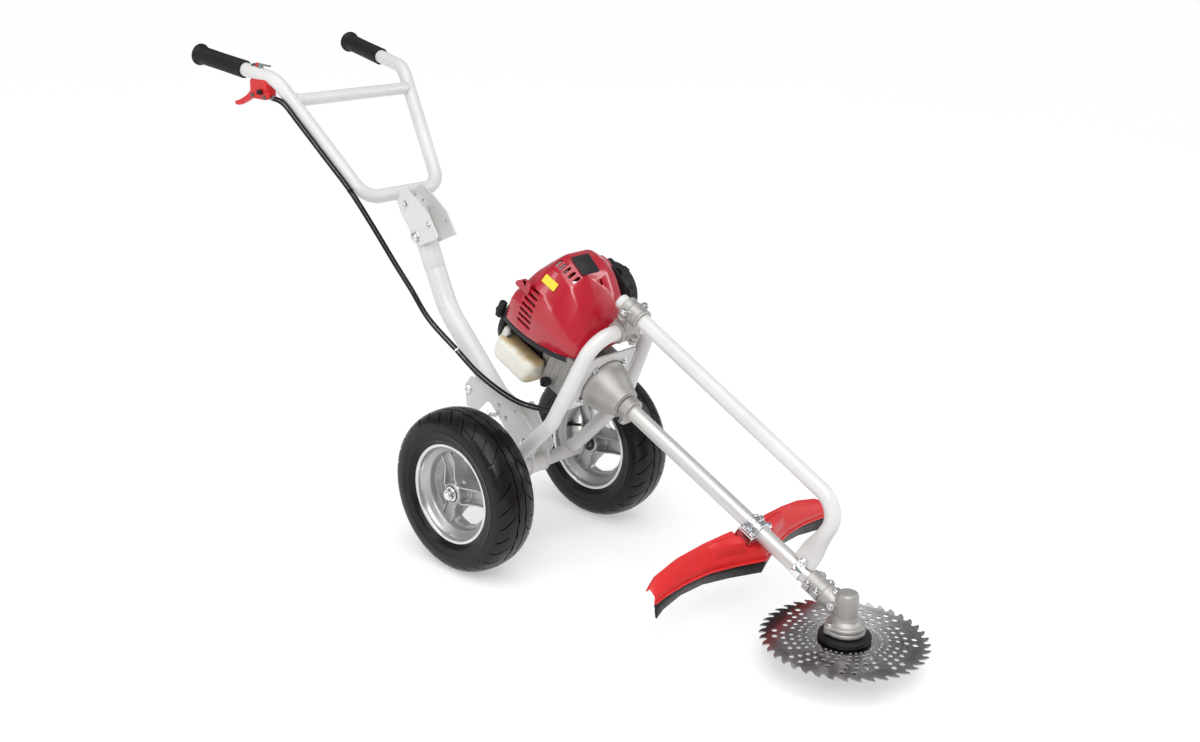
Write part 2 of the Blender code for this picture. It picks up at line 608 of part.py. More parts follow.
def guard_mount(machine):
    """The clamp on the drive tube that carries the guard: a saddle below and a strap above."""
    s = along_drive(-0.4800)
    tilt = drive_frame()
    bore = rod(DRIVE_TUBE_RADIUS + GAP, s - 0.05, s + 0.05, 24, "Y")
    saddle = rounded_box((-0.0260, s - 0.0150, -0.0163), (0.0260, s + 0.0150, -0.0008), 0.003, "Y")
    piece("guard_saddle", moved(saddle, tilt), ZINC, machine, cut=[moved(bore, tilt)])
    arch = [(0.026, 0.0003), (0.026, 0.003)] + arc(0.0162, 11, 169, 12) + [(-0.026, 0.003), (-0.026, 0.0003)]
    arch += arc(DRIVE_TUBE_RADIUS + GAP, 178, 2, 14)
    piece("guard_strap", moved(sheet(arch, s - 0.0130, s + 0.0130, "Y"), tilt), ZINC, machine)


def arc(radius, first, last, steps):
    """Points on a circle about the origin between two angles in degrees."""
    turns = [math.radians(first + (last - first) * k / steps) for k in range(steps + 1)]
    return [(radius * math.cos(t), radius * math.sin(t)) for t in turns]


def foot_band(machine):
    """The strap that ties the support tube's fin to the drive tube."""
    s = -0.4590
    tilt = drive_frame()
    ring = pipe(DRIVE_TUBE_RADIUS + 0.0016, DRIVE_TUBE_RADIUS + GAP, s - 0.0075, s + 0.0075, 24, "Y")
    ear = rounded_box((-0.0084, s - 0.0070, 0.0100), (-0.0056, s + 0.0070, 0.0280), 0.002, "X")
    other = rounded_box((0.0056, s - 0.0070, 0.0100), (0.0084, s + 0.0070, 0.0280), 0.002, "X")
    gap_cut = rod(DRIVE_TUBE_RADIUS + GAP, s - 0.02, s + 0.02, 24, "Y")
    piece("foot_band", moved(ring, tilt), ZINC, machine, add=[moved(ear, tilt), moved(other, tilt)],
          cut=[moved(gap_cut, tilt)])


# ---------------------------------------------------------------- engine

def engine_core(engine, crank):
    """Crankcase, finned cylinder and piston, with the crankshaft and flywheel."""
    s = CYLINDER_S
    case = rounded_box((-0.050, 0.0025, -0.050), (0.050, 0.0800, 0.0380), 0.012, "Y")
    chamber = rod(0.0262, s - 0.014, s + 0.014, 24, "Y")
    shaft_bore = rod(CRANK_RADIUS + GAP, -0.01, 0.10, 20, "Y")
    throat = rod(0.0212, 0.0, 0.06, 24, "Z", (0, s, 0))
    piece("crankcase", case, CAST, engine, cut=[chamber, shaft_bore, throat])
    barrel = [(0.0196, 0.0384), (0.0245, 0.0384)]
    for k in range(4):
        low = 0.0450 + 0.0120 * k
        barrel += [(0.0245, low), (0.0290, low + 0.0004), (0.0290, low + 0.0026), (0.0245, low + 0.0030)]
    barrel += [(0.0225, 0.0900), (0.0190, 0.0960), (0, 0.0960), (0, 0.0900), (0.0196, 0.0900)]
    piece("cylinder", lathe(barrel, 18, "Z", (0, s, 0)), CAST, engine)
    slide = empty("piston_axis", engine, (0, s, 0.0620))
    crown = [(0, 0.011), (0.0192, 0.0105), (0.0192, -0.012), (0.016, -0.012), (0.016, 0.005), (0, 0.006)]
    piece("piston", lathe(crown, 22, "Z"), CAST, slide)
    web = rod(0.0240, s - 0.0080, s + 0.0080, 22, "Y")
    shoes = rod(0.0285, -0.0310, -0.0140, 22, "Y")
    piece("crankshaft", rod(CRANK_RADIUS, -0.0310, 0.0990, 20, "Y"), STEEL, crank, add=[web, shoes])
    wheel_profile = [(CRANK_RADIUS + GAP, 0.0845), (0.0440, 0.0845), (0.0440, 0.0975), (0.0300, 0.0975),
                     (0.0280, 0.0910), (CRANK_RADIUS + GAP, 0.0910)]
    piece("flywheel", lathe(wheel_profile, 24, "Y"), CAST, crank)


def cover_ring(station):
    """One cross-section of the engine cover, from its lower edge on the right over the top to the left."""
    s, top, width, low = station
    ring = []
    for x, h in COVER_SECTION:
        height = low if h is None else 0.058 + (h - 0.058) * (top - 0.058) / (0.170 - 0.058)
        ring.append(Vector((x * width, s, height)))
    return ring


def engine_cover(engine):
    verts, faces = grid([cover_ring(station) for station in COVER_STATIONS])
    count = len(COVER_SECTION)
    faces.append(tuple(range(count)))
    last = (len(COVER_STATIONS) - 1) * count
    arch = [Vector((0.060 * math.cos(t), COVER_STATIONS[-1][0], 0.060 * math.sin(t)))
            for t in [math.radians(75 + 25 * k) for k in range(3)]]
    faces.append((*range(last, last + count), *range(len(verts), len(verts) + 3)))
    cover = piece("engine_cover", (verts + arch, faces), GLOSS_RED, engine)
    thicken(cover, 0.0025)


def tank_outline(grow):
    """The fuel tank's (x, h) section, hollowed on top for the starter; grow moves every side outwards."""
    reach = 0.0485 - grow
    top = -0.0120 + grow
    edge = math.acos(-top / reach)
    arc = [(reach * math.sin(edge * (1 - k / 5)), -reach * math.cos(edge * (1 - k / 5))) for k in range(11)]
    return [(-0.0790 - grow, top), (-0.0790 - grow, -0.0590 - grow), (0.0700 + grow, -0.0590 - grow),
            (0.0700 + grow, top)] + arc


def fuel_tank(engine):
    """A hollow tank under the starter, with a filler neck on the operator's left."""
    outer = sheet(tank_outline(0.0), 0.0840, 0.1760, "Y")
    hollow = sheet(tank_outline(-0.0040), 0.0880, 0.1720, "Y")
    neck = rod(0.0150, 0.0600, 0.0760, 20, "X", (0, 0.1500, -0.0360))
    mouth = rod(0.0115, 0.0600, 0.0800, 20, "X", (0, 0.1500, -0.0360))
    piece("fuel_tank", outer, CREAM, engine, add=[neck], cut=[hollow, mouth])
    turn = empty("fuel_cap_axis", engine, (0, 0.1500, -0.0360))
    cap = [(0, 0.084), (0.0185, 0.084), (0.019, 0.083), (0.019, 0.0712), (0.0154, 0.0712), (0.0154, 0.0764),
           (0.0112, 0.0764), (0.0112, 0.0700), (0, 0.0700)]
    piece("fuel_cap", lathe(cap, 20, "X"), BLACK, turn)


def starter(engine):
    """The recoil starter behind the engine: a drum housing, an end disc and the pull handle."""
    profile = [(0, 0.105), (0.04, 0.105), (0.04, 0.099), (0.0475, 0.099), (0.0475, 0.178), (0.064, 0.1785),
               (0.0660, 0.1810), (0.0660, 0.1890), (0.0620, 0.1920), (0, 0.1920)]
    piece("recoil_starter", lathe(profile, 30, "Y"), BLACK, engine)
    pull = empty("recoil_axis", engine, (-0.0770, 0.1860, 0.0300))
    grip = [(0, -0.0045), (0.0045, -0.0045), (0.006, -0.002), (0.006, 0.006), (0.0045, 0.009), (0, 0.0095)]
    bar = rounded_box((-0.0060, -0.0065, -0.0140), (0.0060, 0.0065, 0.0140), 0.004, "Z", 2)
    piece("recoil_handle", bar, BLACK, pull, add=[lathe([(r, -t) for r, t in grip], 12, "X")])


def engine_sides(engine):
    """Silencer on the right, carburettor and air cleaner on the left, and the oil filler cap."""
    piece("muffler", rounded_box((-0.074, 0.09, 0.054), (-0.046, 0.15, 0.102), 0.008, "X"), STEEL, engine)
    piece("carburettor", rounded_box((0.031, 0.061, 0.04), (0.058, 0.087, 0.066), 0.005, "X"), CAST, engine,
          cut=[rod(0.0075, 0.02, 0.07, 14, "X", (0, 0.0740, 0.0530))])
    drum = [(0, 0.0583), (0.05, 0.0583), (0.052, 0.062), (0.052, 0.082), (0.0485, 0.0885), (0.04, 0.09),
            (0, 0.0900)]
    piece("air_cleaner", lathe(drum, 26, "X", (0, 0.1000, 0.0940)), BLACK, engine,
          cut=[rod(0.0080, 0.05, 0.0750, 14, "X", (0, 0.0740, 0.0530))])
    cap = [(0, -0.0505), (0, -0.064), (0.0075, -0.064), (0.0085, -0.062), (0.0085, -0.055), (0.006, -0.054),
           (0.0060, -0.0505)]
    turn = empty("oil_cap_axis", engine, (0, 0.0620, -0.0340))
    piece("oil_filler_cap", lathe(cap, 16, "X"), BLACK, turn)
    choke = empty("choke_axis", engine, (0.0905, 0.0720, 0.0860))
    lever = sheet([(-0.005, -0.005), (0.005, -0.005), (0.0045, 0.012), (0.003, 0.026), (-0.003, 0.026),
                   (-0.0045, 0.012)], 0.0, 0.0030, "X")
    piece("choke_lever", lever, BLACK, choke)


# ---------------------------------------------------------------- column

def column(root, machine):
    """The column, its lower side plates and its bolts; root tilts about the axle bracket's pivot."""
    def local(y, z):
        return Vector((0, y - TILT_PIVOT[0], z - TILT_PIVOT[1]))
    low, corner = local(0.0560, 0.2061), local(0.2226, 0.3734)
    pivot = local(*FOLD_PIVOT)
    top = pivot + (pivot - corner).normalized() * 0.050
    path = rounded([low, corner, top], [0, 0.16, 0], 6)
    hole = rod(0.0053, -0.04, 0.04, 14, "X", pivot)
    piece("column_tube", sweep(path, COLUMN_RADIUS, COLUMN_RADIUS - 0.0020, 16), WHITE, root, cut=[hole])
    rear = [(0.1382, 0.2711), (0.1534, 0.2522), (0.1498, 0.2126), (0.1208, 0.2116), (0.0950, 0.2371),
            (0.0639, 0.2210), (0.0560, 0.2010), (0.0230, 0.1690), (0.0120, 0.1578), (0.0008, 0.1551),
            (-0.012, 0.1585), (-0.0225, 0.17), (-0.0245, 0.181)]
    front = {"right": [(-0.0253, 0.1996), (0.0255, 0.2506)],
             "left": [(-0.0190, 0.1905), (0.0220, 0.2230), (0.0687, 0.2359)]}
    spacer_hole = circle(tuple(local(0.1440, 0.2470).yz), 0.0043, 10)
    index_hole = circle(tuple(local(0.0257, 0.2341).yz), 0.0035, 10)
    drain = circle(tuple(local(0.0668, 0.2345).yz), 0.0040, 10)
    window = [tuple(local(0.0496 + 0.0045 * y, 0.2139 + 0.0070 * z).yz) for y, z in circle((0, 0), 1.0, 12)]
    extra = {"right": [index_hole, drain, window], "left": []}
    for side, word in ((-1, "right"), (1, "left")):
        outline = [tuple(local(y, z).yz) for y, z in rear + front[word]]
        outline = [tuple(p) for p in rounded(outline, 0.0035, 2, closed=True)]
        ends = sorted((side * 0.0198, side * 0.0228))
        shape = sheet(outline, *ends, "X", [circle((0, 0), 0.0053, 14), spacer_hole, *extra[word]])
        piece(f"column_plate_{word}", shape, WHITE, root)
    piece("fold_bolt", crossing_bolt(0.0050, 0.0231, pivot, 0.0090), ZINC, root)
    piece("tilt_bolt", crossing_bolt(0.0050, 0.0231, (0, *TILT_PIVOT), 0.0090), ZINC, machine)


def crossing_bolt(radius, face, centre, head):
    """A bolt along X with a hex head and a nut outside two plates, as one outline turned about X."""
    profile = [(0, -face - 0.0095), (radius, -face - 0.0095), (radius, -face - 0.006), (head, -face - 0.006),
               (head, -face), (radius, -face), (radius, face), (head, face), (head, face + 0.0050),
               (0, face + 0.0050)]
    return lathe(profile, 12, "X", centre)


def axle_bracket(machine):
    """The collar on the axle tube with two cheeks that carry the column's tilt bolt."""
    lobes = [((0.0, TYRE_RADIUS), 0.0180), ((0.0257, 0.2341), 0.0090), (TILT_PIVOT, 0.0150)]
    outline = [tuple(p) for p in hull_outline(lobes, 6)]
    holes = [circle(TILT_PIVOT, 0.0053, 14), circle((0.0257, 0.2341), 0.0033, 10)]
    collar = rod(0.0165, -0.0194, 0.0194, 22, "X", (0, 0, TYRE_RADIUS))
    plates = [sheet(outline, *sorted((side * 0.0165, side * 0.0195)), "X", holes) for side in (-1, 1)]
    piece("axle_bracket", collar, WHITE, machine, add=plates,
          cut=[rod(AXLE_TUBE_RADIUS + GAP, -0.06, 0.06, 20, "X", (0, 0, TYRE_RADIUS))])


# ---------------------------------------------------------------- handlebar

def handlebar_path():
    """The handlebar's centre line from the right grip to the left, measured from the fold bolt."""
    half = [Vector(p) - Vector((0, *FOLD_PIVOT)) for p in (HANDLE_FOOT, HANDLE_KNEE, HANDLE_END)]
    corners = [Vector((-p.x, p.y, p.z)) for p in reversed(half)] + half
    return rounded(corners, [0, 0.05, 0.040, 0.040, 0.05, 0], 4)


def handlebar(bar):
    """The bent handlebar with its crossbar, hinge plates and grips; bar folds about the column's top."""
    def local(p):
        return Vector(p) - Vector((0, *FOLD_PIVOT))
    crossbar = pipe(0.0110, 0.0095, -0.1280, 0.1280, 13, "X", local((0, 0.4731, 0.7267)))
    tube = sweep(handlebar_path(), FRAME_TUBE_RADIUS, FRAME_TUBE_BORE, 12)
    piece("handlebar", tube, WHITE, bar, add=[crossbar])
    outline = [(0.3370, 0.5680), (0.3420, 0.5555), (0.3296, 0.5560), (0.3209, 0.5335), (0.2995, 0.5109),
               (0.2900, 0.4880), (0.2700, 0.4830), (0.2210, 0.5062), (0.2327, 0.5237), (0.2460, 0.5440),
               (0.2807, 0.5671), (0.3114, 0.5839)]
    shift = Vector(FOLD_PIVOT)
    outline = [tuple(Vector(p) - shift) for p in outline]
    outline = [tuple(p) for p in rounded(outline, 0.0025, 2, closed=True)]
    upper = Vector((0.3076, 0.5523)) - shift
    third = Vector((0.2464, 0.5254)) - shift
    holes = [circle((0, 0), 0.0053, 14), circle(tuple(upper), 0.0043, 10), circle(tuple(third), 0.0036, 10)]
    socket = rod(FRAME_TUBE_RADIUS + GAP, -0.04, 0.04, 20, "X", local((0, HANDLE_FOOT[1], HANDLE_FOOT[2])))
    for side, word in ((-1, "right"), (1, "left")):
        ends = sorted((side * 0.0196, side * 0.0226))
        piece(f"hinge_plate_{word}", sheet(outline, *ends, "X", holes), WHITE, bar, cut=[socket])
    for side, word in ((-1, "right"), (1, "left")):
        end = local((side * HANDLE_END[0], HANDLE_END[1], HANDLE_END[2]))
        knee = local((side * HANDLE_KNEE[0], HANDLE_KNEE[1], HANDLE_KNEE[2]))
        along = (end - knee).normalized()
        turn = Vector((0, 1, 0)).rotation_difference(along).to_matrix().to_4x4()
        profile = [(0, 0.0026), (0.0180, 0.0026), (0.0198, 0.0010), (0.0198, -0.0030), (0.0160, -0.0052),
                   (0.0156, -0.06), (0.016, -GRIP_LENGTH), (0.0128, -GRIP_LENGTH), (0.0128, 0.0), (0, 0.0)]
        piece(f"grip_{word}", moved(lathe(profile, 18, "Y"), Matrix.Translation(end) @ turn), RUBBER, bar)


def throttle(bar):
    """The throttle block on the right leg, with its trigger and stop switch."""
    def local(p):
        return Vector(p) - Vector((0, *FOLD_PIVOT))
    block = rounded_box(local((-0.1610, 0.5150, 0.7240)), local((-0.1390, 0.5650, 0.7600)), 0.006, "X")
    bore = sweep(handlebar_path()[:7], FRAME_TUBE_RADIUS + GAP, 0.0, 18)
    slit = box(local((-0.1545, 0.5470, 0.7000)), local((-0.1455, 0.5800, 0.7480)))
    piece("throttle_block", block, BRIGHT_RED, bar, cut=[bore, slit])
    pivot = local((-0.1500, 0.5540, 0.7400))
    axis = empty("trigger_axis", bar, pivot)
    lever = [(-0.0035, -0.0040), (0.0030, -0.0070), (0.0300, -0.0260), (0.0560, -0.0350), (0.0690, -0.0335),
             (0.0700, -0.0290), (0.0540, -0.0265), (0.0330, -0.0150), (0.0120, 0.0020), (-0.0020, 0.0035)]
    piece("throttle_trigger", sheet(lever, -0.0040, 0.0040, "X"), BLACK, axis)
    switch = empty("switch_axis", bar, local((-0.1610, 0.5320, 0.7380)))
    piece("stop_switch", rounded_box((-0.0050, -0.0060, -0.0040), (-0.0003, 0.0060, 0.0040), 0.002, "X"),
          BLACK, switch)


# ---------------------------------------------------------------- cables

def smooth_points(points, spacing):
    """Points at an even spacing along a smooth curve through the given ones."""
    points = [Vector(p) for p in points]
    ends = [points[0] * 2 - points[1]] + points + [points[-1] * 2 - points[-2]]
    fine = []
    for a, b, c, d in zip(ends, ends[1:], ends[2:], ends[3:]):
        for k in range(12):
            t = k / 12
            fine.append(0.5 * (2 * b + (c - a) * t + (2 * a - 5 * b + 4 * c - d) * t * t
                               + (3 * b - a - 3 * c + d) * t ** 3))
    fine.append(points[-1])
    out, carried = [fine[0]], 0.0
    for a, b in zip(fine, fine[1:]):
        carried += (b - a).length
        if carried >= spacing:
            out.append(b)
            carried = 0.0
    if (out[-1] - fine[-1]).length < spacing * 0.5:
        out.pop()
    out.append(fine[-1])
    return out


def cable(name, route, offset, parent, origin):
    points = [p + Vector(offset) - Vector(origin) for p in smooth_points(route, 0.0165)]
    curve = bpy.data.curves.new(name, "CURVE")
    curve.dimensions = "3D"
    curve.bevel_depth = CABLE_RADIUS
    curve.bevel_resolution = 2
    curve.use_fill_caps = True
    spline = curve.splines.new("POLY")
    spline.points.add(len(points) - 1)
    for slot, point in zip(spline.points, points):
        slot.co = (*point, 1.0)
    obj = bpy.data.objects.new(name, curve)
    bpy.context.scene.collection.objects.link(obj)
    obj.parent = parent
    curve.materials.append(plain_material(name, RUBBER))
    return obj


def cables(root, machine):
    pivot = (0, *TILT_PIVOT)
    for word, shift in (("throttle", (0, 0, 0)), ("switch", CABLE_SPREAD)):
        cable(f"{word}_cable_upper", UPPER_RUN, shift, root, pivot)
        cable(f"{word}_cable_lower", LOWER_RUN, shift, machine, (0, 0, 0))


# ---------------------------------------------------------------- assembly

def settle(machine):
    """Slides the machine so that the middle of its bounding box stands over the origin."""
    bpy.context.view_layer.update()
    graph = bpy.context.evaluated_depsgraph_get()
    reach = []
    for obj in bpy.context.scene.objects:
        if obj.type == "EMPTY" or obj.hide_render:
            continue
        solid = obj.evaluated_get(graph)
        mesh = solid.to_mesh()
        reach += [(solid.matrix_world @ v.co) for v in mesh.vertices]
        solid.to_mesh_clear()
    low = min(p.y for p in reach)
    high = max(p.y for p in reach)
    machine.location.y -= (low + high) / 2


def main():
    clear_scene()
    machine = empty("machine")
    drive = drive_frame()
    engine = empty("engine_frame", machine, drive.translation, (DRIVE_ANGLE, 0, 0))
    spin = empty("drive_axis", engine)
    crank = empty("crank_axis", engine)
    spindle = empty("spindle_axis", machine, (0, HEAD_Y, 0))
    cup = empty("glide_axis", machine, (0, HEAD_Y, 0))
    root = empty("column_axis", machine, (0, *TILT_PIVOT))
    fold = Vector((0, FOLD_PIVOT[0] - TILT_PIVOT[0], FOLD_PIVOT[1] - TILT_PIVOT[1]))
    bar = empty("handlebar_axis", root, fold)
    for side in (-1, 1):
        wheel(side, machine)
    axle(machine)
    front_hoop(machine, drive)
    top_tube(machine)
    cross_clamp(machine, drive)
    engine_plate(engine)
    drive_line(machine, engine, spin)
    gear_case(machine, engine)
    blade_stack(spindle)
    glide_cup(cup)
    guard(machine)
    guard_mount(machine)
    foot_band(machine)
    engine_core(engine, crank)
    engine_cover(engine)
    fuel_tank(engine)
    starter(engine)
    engine_sides(engine)
    axle_bracket(machine)
    column(root, machine)
    handlebar(bar)
    throttle(bar)
    cables(root, machine)
    settle(machine)


main()
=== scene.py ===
"""The looks of the wheeled brush cutter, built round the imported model.

Metres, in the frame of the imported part.
"""

import math

import bmesh
import bpy
from mathutils import Matrix, Vector
from mathutils.geometry import tessellate_polygon


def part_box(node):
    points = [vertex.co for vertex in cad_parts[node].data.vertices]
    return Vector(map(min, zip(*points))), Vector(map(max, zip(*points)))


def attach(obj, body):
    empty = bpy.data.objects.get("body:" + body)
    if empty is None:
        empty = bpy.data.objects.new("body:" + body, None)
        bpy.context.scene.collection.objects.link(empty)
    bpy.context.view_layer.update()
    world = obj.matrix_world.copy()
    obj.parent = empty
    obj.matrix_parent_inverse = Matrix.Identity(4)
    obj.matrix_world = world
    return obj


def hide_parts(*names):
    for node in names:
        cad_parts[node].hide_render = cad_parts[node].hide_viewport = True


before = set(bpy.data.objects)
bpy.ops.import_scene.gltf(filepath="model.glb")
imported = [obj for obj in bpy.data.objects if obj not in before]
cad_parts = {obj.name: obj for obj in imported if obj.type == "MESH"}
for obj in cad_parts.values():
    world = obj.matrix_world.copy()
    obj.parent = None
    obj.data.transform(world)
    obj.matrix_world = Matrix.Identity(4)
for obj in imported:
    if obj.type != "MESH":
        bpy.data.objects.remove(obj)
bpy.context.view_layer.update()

axle_low, axle_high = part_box("axle")
MACHINE = Matrix.Translation((0, (axle_low.y + axle_high.y) / 2, 0))
DRIVE_ANGLE = math.radians(25.3)
ENGINE_FACE_Y = -0.152
HEAD = Vector((0, -0.6535, 0.0914))
WHEEL_X = 0.166
TYRE_RADIUS = 0.14
SAME_POINT = 1e-6      # points closer than this are welded
FOLD = Vector((0, 0.2811, 0.4964))
TILT = Vector((0, 0.0008, 0.1801))
SPINDLE = MACHINE @ Matrix.Translation((0, HEAD.y, 0))


def tube_height(y):
    """The height of the drive axis at this y."""
    return HEAD.z + (y - HEAD.y) * math.tan(DRIVE_ANGLE)


ENGINE_SEAT = Vector((0, ENGINE_FACE_Y, tube_height(ENGINE_FACE_Y)))
ENGINE = MACHINE @ Matrix.Translation(ENGINE_SEAT) @ Matrix.Rotation(DRIVE_ANGLE, 4, "X")


# ---------------------------------------------------------------- camera, floor and light

def camera():
    """A camera at the height and angle of a standing viewer in front of the machine, on its right."""
    yaw, pitch, roll = math.radians(47.66), math.radians(18.69), math.radians(1.3)
    ahead = Vector((math.sin(yaw) * math.cos(pitch), math.cos(yaw) * math.cos(pitch), -math.sin(pitch)))
    right = ahead.cross(Vector((0, 0, 1))).normalized()
    up = right.cross(ahead)
    tilted = right * math.cos(roll) + up * math.sin(roll)
    top = up * math.cos(roll) - right * math.sin(roll)
    data = bpy.data.cameras.new("camera")
    data.sensor_fit = "HORIZONTAL"
    data.sensor_width = 36.0
    data.lens = 44.835
    data.clip_start, data.clip_end = 0.05, 60.0
    cam = bpy.data.objects.new("camera", data)
    bpy.context.scene.collection.objects.link(cam)
    turn = Matrix((tilted, top, -ahead)).transposed().to_4x4()
    cam.matrix_world = MACHINE @ Matrix.Translation((-1.7157, -1.713, 1.1313)) @ turn
    bpy.context.scene.camera = cam


def lamp(name, kind, strength, toward, at=(0, 0, 0)):
    """A light that shines from a place along a direction."""
    data = bpy.data.lights.new(name, kind)
    data.energy = strength
    holder = bpy.data.objects.new(name, data)
    bpy.context.scene.collection.objects.link(holder)
    holder.location = at
    holder.rotation_mode = "QUATERNION"
    holder.rotation_quaternion = Vector(toward).to_track_quat("-Z", "Y")
    return data


def softbox(name, at, aim, width, height, power):
    """A rectangular lamp that looks at a point."""
    data = lamp(name, "AREA", power, Vector(aim) - Vector(at), at)
    data.shape = "RECTANGLE"
    data.size = width
    data.size_y = height


def studio():
    """A pale floor under an even sky and four soft lamps."""
    bpy.context.scene.view_settings.view_transform = "Standard"
    world = bpy.data.worlds.new("studio")
    bpy.context.scene.world = world
    world.use_nodes = True
    world.node_tree.nodes["Background"].inputs[0].default_value = (0.94, 0.96, 1.0, 1)
    world.node_tree.nodes["Background"].inputs[1].default_value = 0.36
    overhead = lamp("overhead", "SUN", 2.05, (0.34, 0.3, -1.0))
    overhead.angle = math.radians(60)
    softbox("key", (-2.0, -1.9, 2.1), (0, -0.1, 0.3), 0.9, 0.9, 20)
    softbox("side", (2.2, -1.7, 1.6), (0, -0.1, 0.3), 0.5, 1.8, 16)
    softbox("back", (2.5, 0.9, 1.15), (0, -0.65, 0.05), 0.16, 0.7, 1.1)
    softbox("strip", (-2.3, 0.9, 1.3), (0, 0, 0.4), 0.3, 1.9, 9)
    verts = [(-40, -40, 0), (40, -40, 0), (40, 40, 0), (-40, 40, 0)]
    mesh = bpy.data.meshes.new("floor")
    mesh.from_pydata(verts, [], [(0, 1, 2, 3)])
    floor = bpy.data.objects.new("floor", mesh)
    floor.location.z = -0.0006
    bpy.context.scene.collection.objects.link(floor)
    mesh.materials.append(FLOOR)


# ---------------------------------------------------------------- materials

class Finish:
    """A procedural material: what its nodes make is linked to one Principled shader."""

    def __init__(self, name, roughness=0.4, metallic=0.0, **constants):
        self.material = bpy.data.materials.new(name)
        self.material.use_nodes = True
        self.tree = self.material.node_tree
        self.shader = self.tree.nodes["Principled BSDF"]
        self.shader.inputs["Roughness"].default_value = roughness
        self.shader.inputs["Metallic"].default_value = metallic
        for key, value in constants.items():
            self.shader.inputs[key.replace("_", " ")].default_value = value
        self.where = self.tree.nodes.new("ShaderNodeTexCoord").outputs["Object"]
        self.height = None

    def link(self, source, target):
        self.tree.links.new(source, target)

    def scaled(self, stretch, turn=(0, 0, 0)):
        """The object's coordinates, stretched by a factor per axis after a turn."""
        node = self.tree.nodes.new("ShaderNodeMapping")
        node.inputs["Rotation"].default_value = turn
        node.inputs["Scale"].default_value = stretch
        self.link(self.where, node.inputs["Vector"])
        return node.outputs["Vector"]

    def noise(self, scale, detail=3.0, roughness=0.55, vector=None, distortion=0.0):
        node = self.tree.nodes.new("ShaderNodeTexNoise")
        node.inputs["Scale"].default_value = scale
        node.inputs["Detail"].default_value = detail
        node.inputs["Roughness"].default_value = roughness
        node.inputs["Distortion"].default_value = distortion
        self.link(vector or self.where, node.inputs["Vector"])
        return node.outputs["Fac"]

    def cells(self, scale):
        node = self.tree.nodes.new("ShaderNodeTexVoronoi")
        node.inputs["Scale"].default_value = scale
        self.link(self.where, node.inputs["Vector"])
        return node.outputs["Distance"]

    def radius(self, centre, axis):
        """The distance from an axis through a point."""
        keep = self.tree.nodes.new("ShaderNodeVectorMath")
        keep.operation = "MULTIPLY"
        keep.inputs[1].default_value = [0.0 if k == axis else 1.0 for k in "XYZ"]
        self.link(self.where, keep.inputs[0])
        node = self.tree.nodes.new("ShaderNodeVectorMath")
        node.operation = "DISTANCE"
        node.inputs[1].default_value = [0.0 if k == axis else v for k, v in zip("XYZ", centre)]
        self.link(keep.outputs["Vector"], node.inputs[0])
        return node.outputs["Value"]

    def rings(self, centre, axis, scale):
        node = self.tree.nodes.new("ShaderNodeTexNoise")
        node.noise_dimensions = "1D"
        node.inputs["Scale"].default_value = scale
        node.inputs["Detail"].default_value = 3.0
        self.link(self.radius(centre, axis), node.inputs["W"])
        return node.outputs["Fac"]

    def band(self, source, low, high, first=0.0, last=1.0):
        """A value mapped from low..high to first..last, and held there outside."""
        node = self.tree.nodes.new("ShaderNodeMapRange")
        for key, value in (("From Min", low), ("From Max", high), ("To Min", first), ("To Max", last)):
            node.inputs[key].default_value = value
        self.link(source, node.inputs["Value"])
        return node.outputs["Result"]

    def join(self, a, b, operation="ADD"):
        node = self.tree.nodes.new("ShaderNodeMath")
        node.operation = operation
        for slot, value in zip(node.inputs, (a, b)):
            if isinstance(value, float):
                slot.default_value = value
            else:
                self.link(value, slot)
        return node.outputs["Value"]

    def creases(self, low=0.45, high=0.55):
        """0 in hollows and 1 on edges, from the shape of the mesh."""
        geometry = self.tree.nodes.new("ShaderNodeNewGeometry")
        return self.band(geometry.outputs["Pointiness"], low, high)

    def blend(self, share, first, second):
        node = self.tree.nodes.new("ShaderNodeMix")
        node.data_type = "RGBA"
        self.link(share, node.inputs["Factor"])
        for slot, colour in ((node.inputs["A"], first), (node.inputs["B"], second)):
            if isinstance(colour, tuple):
                slot.default_value = (*colour, 1.0)
            else:
                self.link(colour, slot)
        return node.outputs["Result"]

    def colour(self, source):
        self.link(source, self.shader.inputs["Base Color"])

    def rough(self, source, low, high):
        self.link(self.band(source, 0.3, 0.7, low, high), self.shader.inputs["Roughness"])

    def bump(self, source, strength, distance):
        node = self.tree.nodes.new("ShaderNodeBump")
        node.inputs["Strength"].default_value = strength
        node.inputs["Distance"].default_value = distance
        self.link(source, node.inputs["Height"])
        if self.height:
            self.link(self.height, node.inputs["Normal"])
        self.height = node.outputs["Normal"]
        self.link(self.height, self.shader.inputs["Normal"])


def painted(name, colour, dust_and_hollow_shade, low, high, grain=900, strength=0.05, coat=0.0):
    """Paint or moulded plastic: drifting tone, uneven gloss, fine orange peel, dust specks, and painted
    shade that darkens the hollows.
    """
    f = Finish(name, Coat_Weight=coat, Coat_Roughness=0.06)
    drift = f.noise(9, 4.0)
    shade = f.blend(f.band(drift, 0.35, 0.68), colour, tuple(c * 0.9 for c in colour))
    specks = f.band(f.noise(430, 2.0), 0.66, 0.74, 0.0, 0.35)
    # painted shade: hollows found from the mesh's pointiness take up to 30 % of the second colour, which the
    # random dust specks share
    f.colour(f.blend(f.join(specks, f.band(f.creases(), 0.35, 0.0, 0.0, 0.3), "MAXIMUM"), shade, dust_and_hollow_shade))
    f.rough(f.noise(42, 3.0), low, high)
    f.bump(f.noise(grain, 2.0), strength, 0.0004)
    return f.material


def floor_paper():
    """A matt white backdrop, lit from behind as a light table is, with a faint tooth."""
    f = Finish("floor_paper", Emission_Color=(1, 1, 1, 1), Emission_Strength=0.42)
    f.colour(f.blend(f.noise(0.8, 2.0), (0.62, 0.62, 0.622), (0.612, 0.612, 0.615)))
    f.rough(f.noise(60, 2.0), 0.75, 0.85)
    f.bump(f.noise(900, 2.0), 0.01, 0.0002)
    return f.material


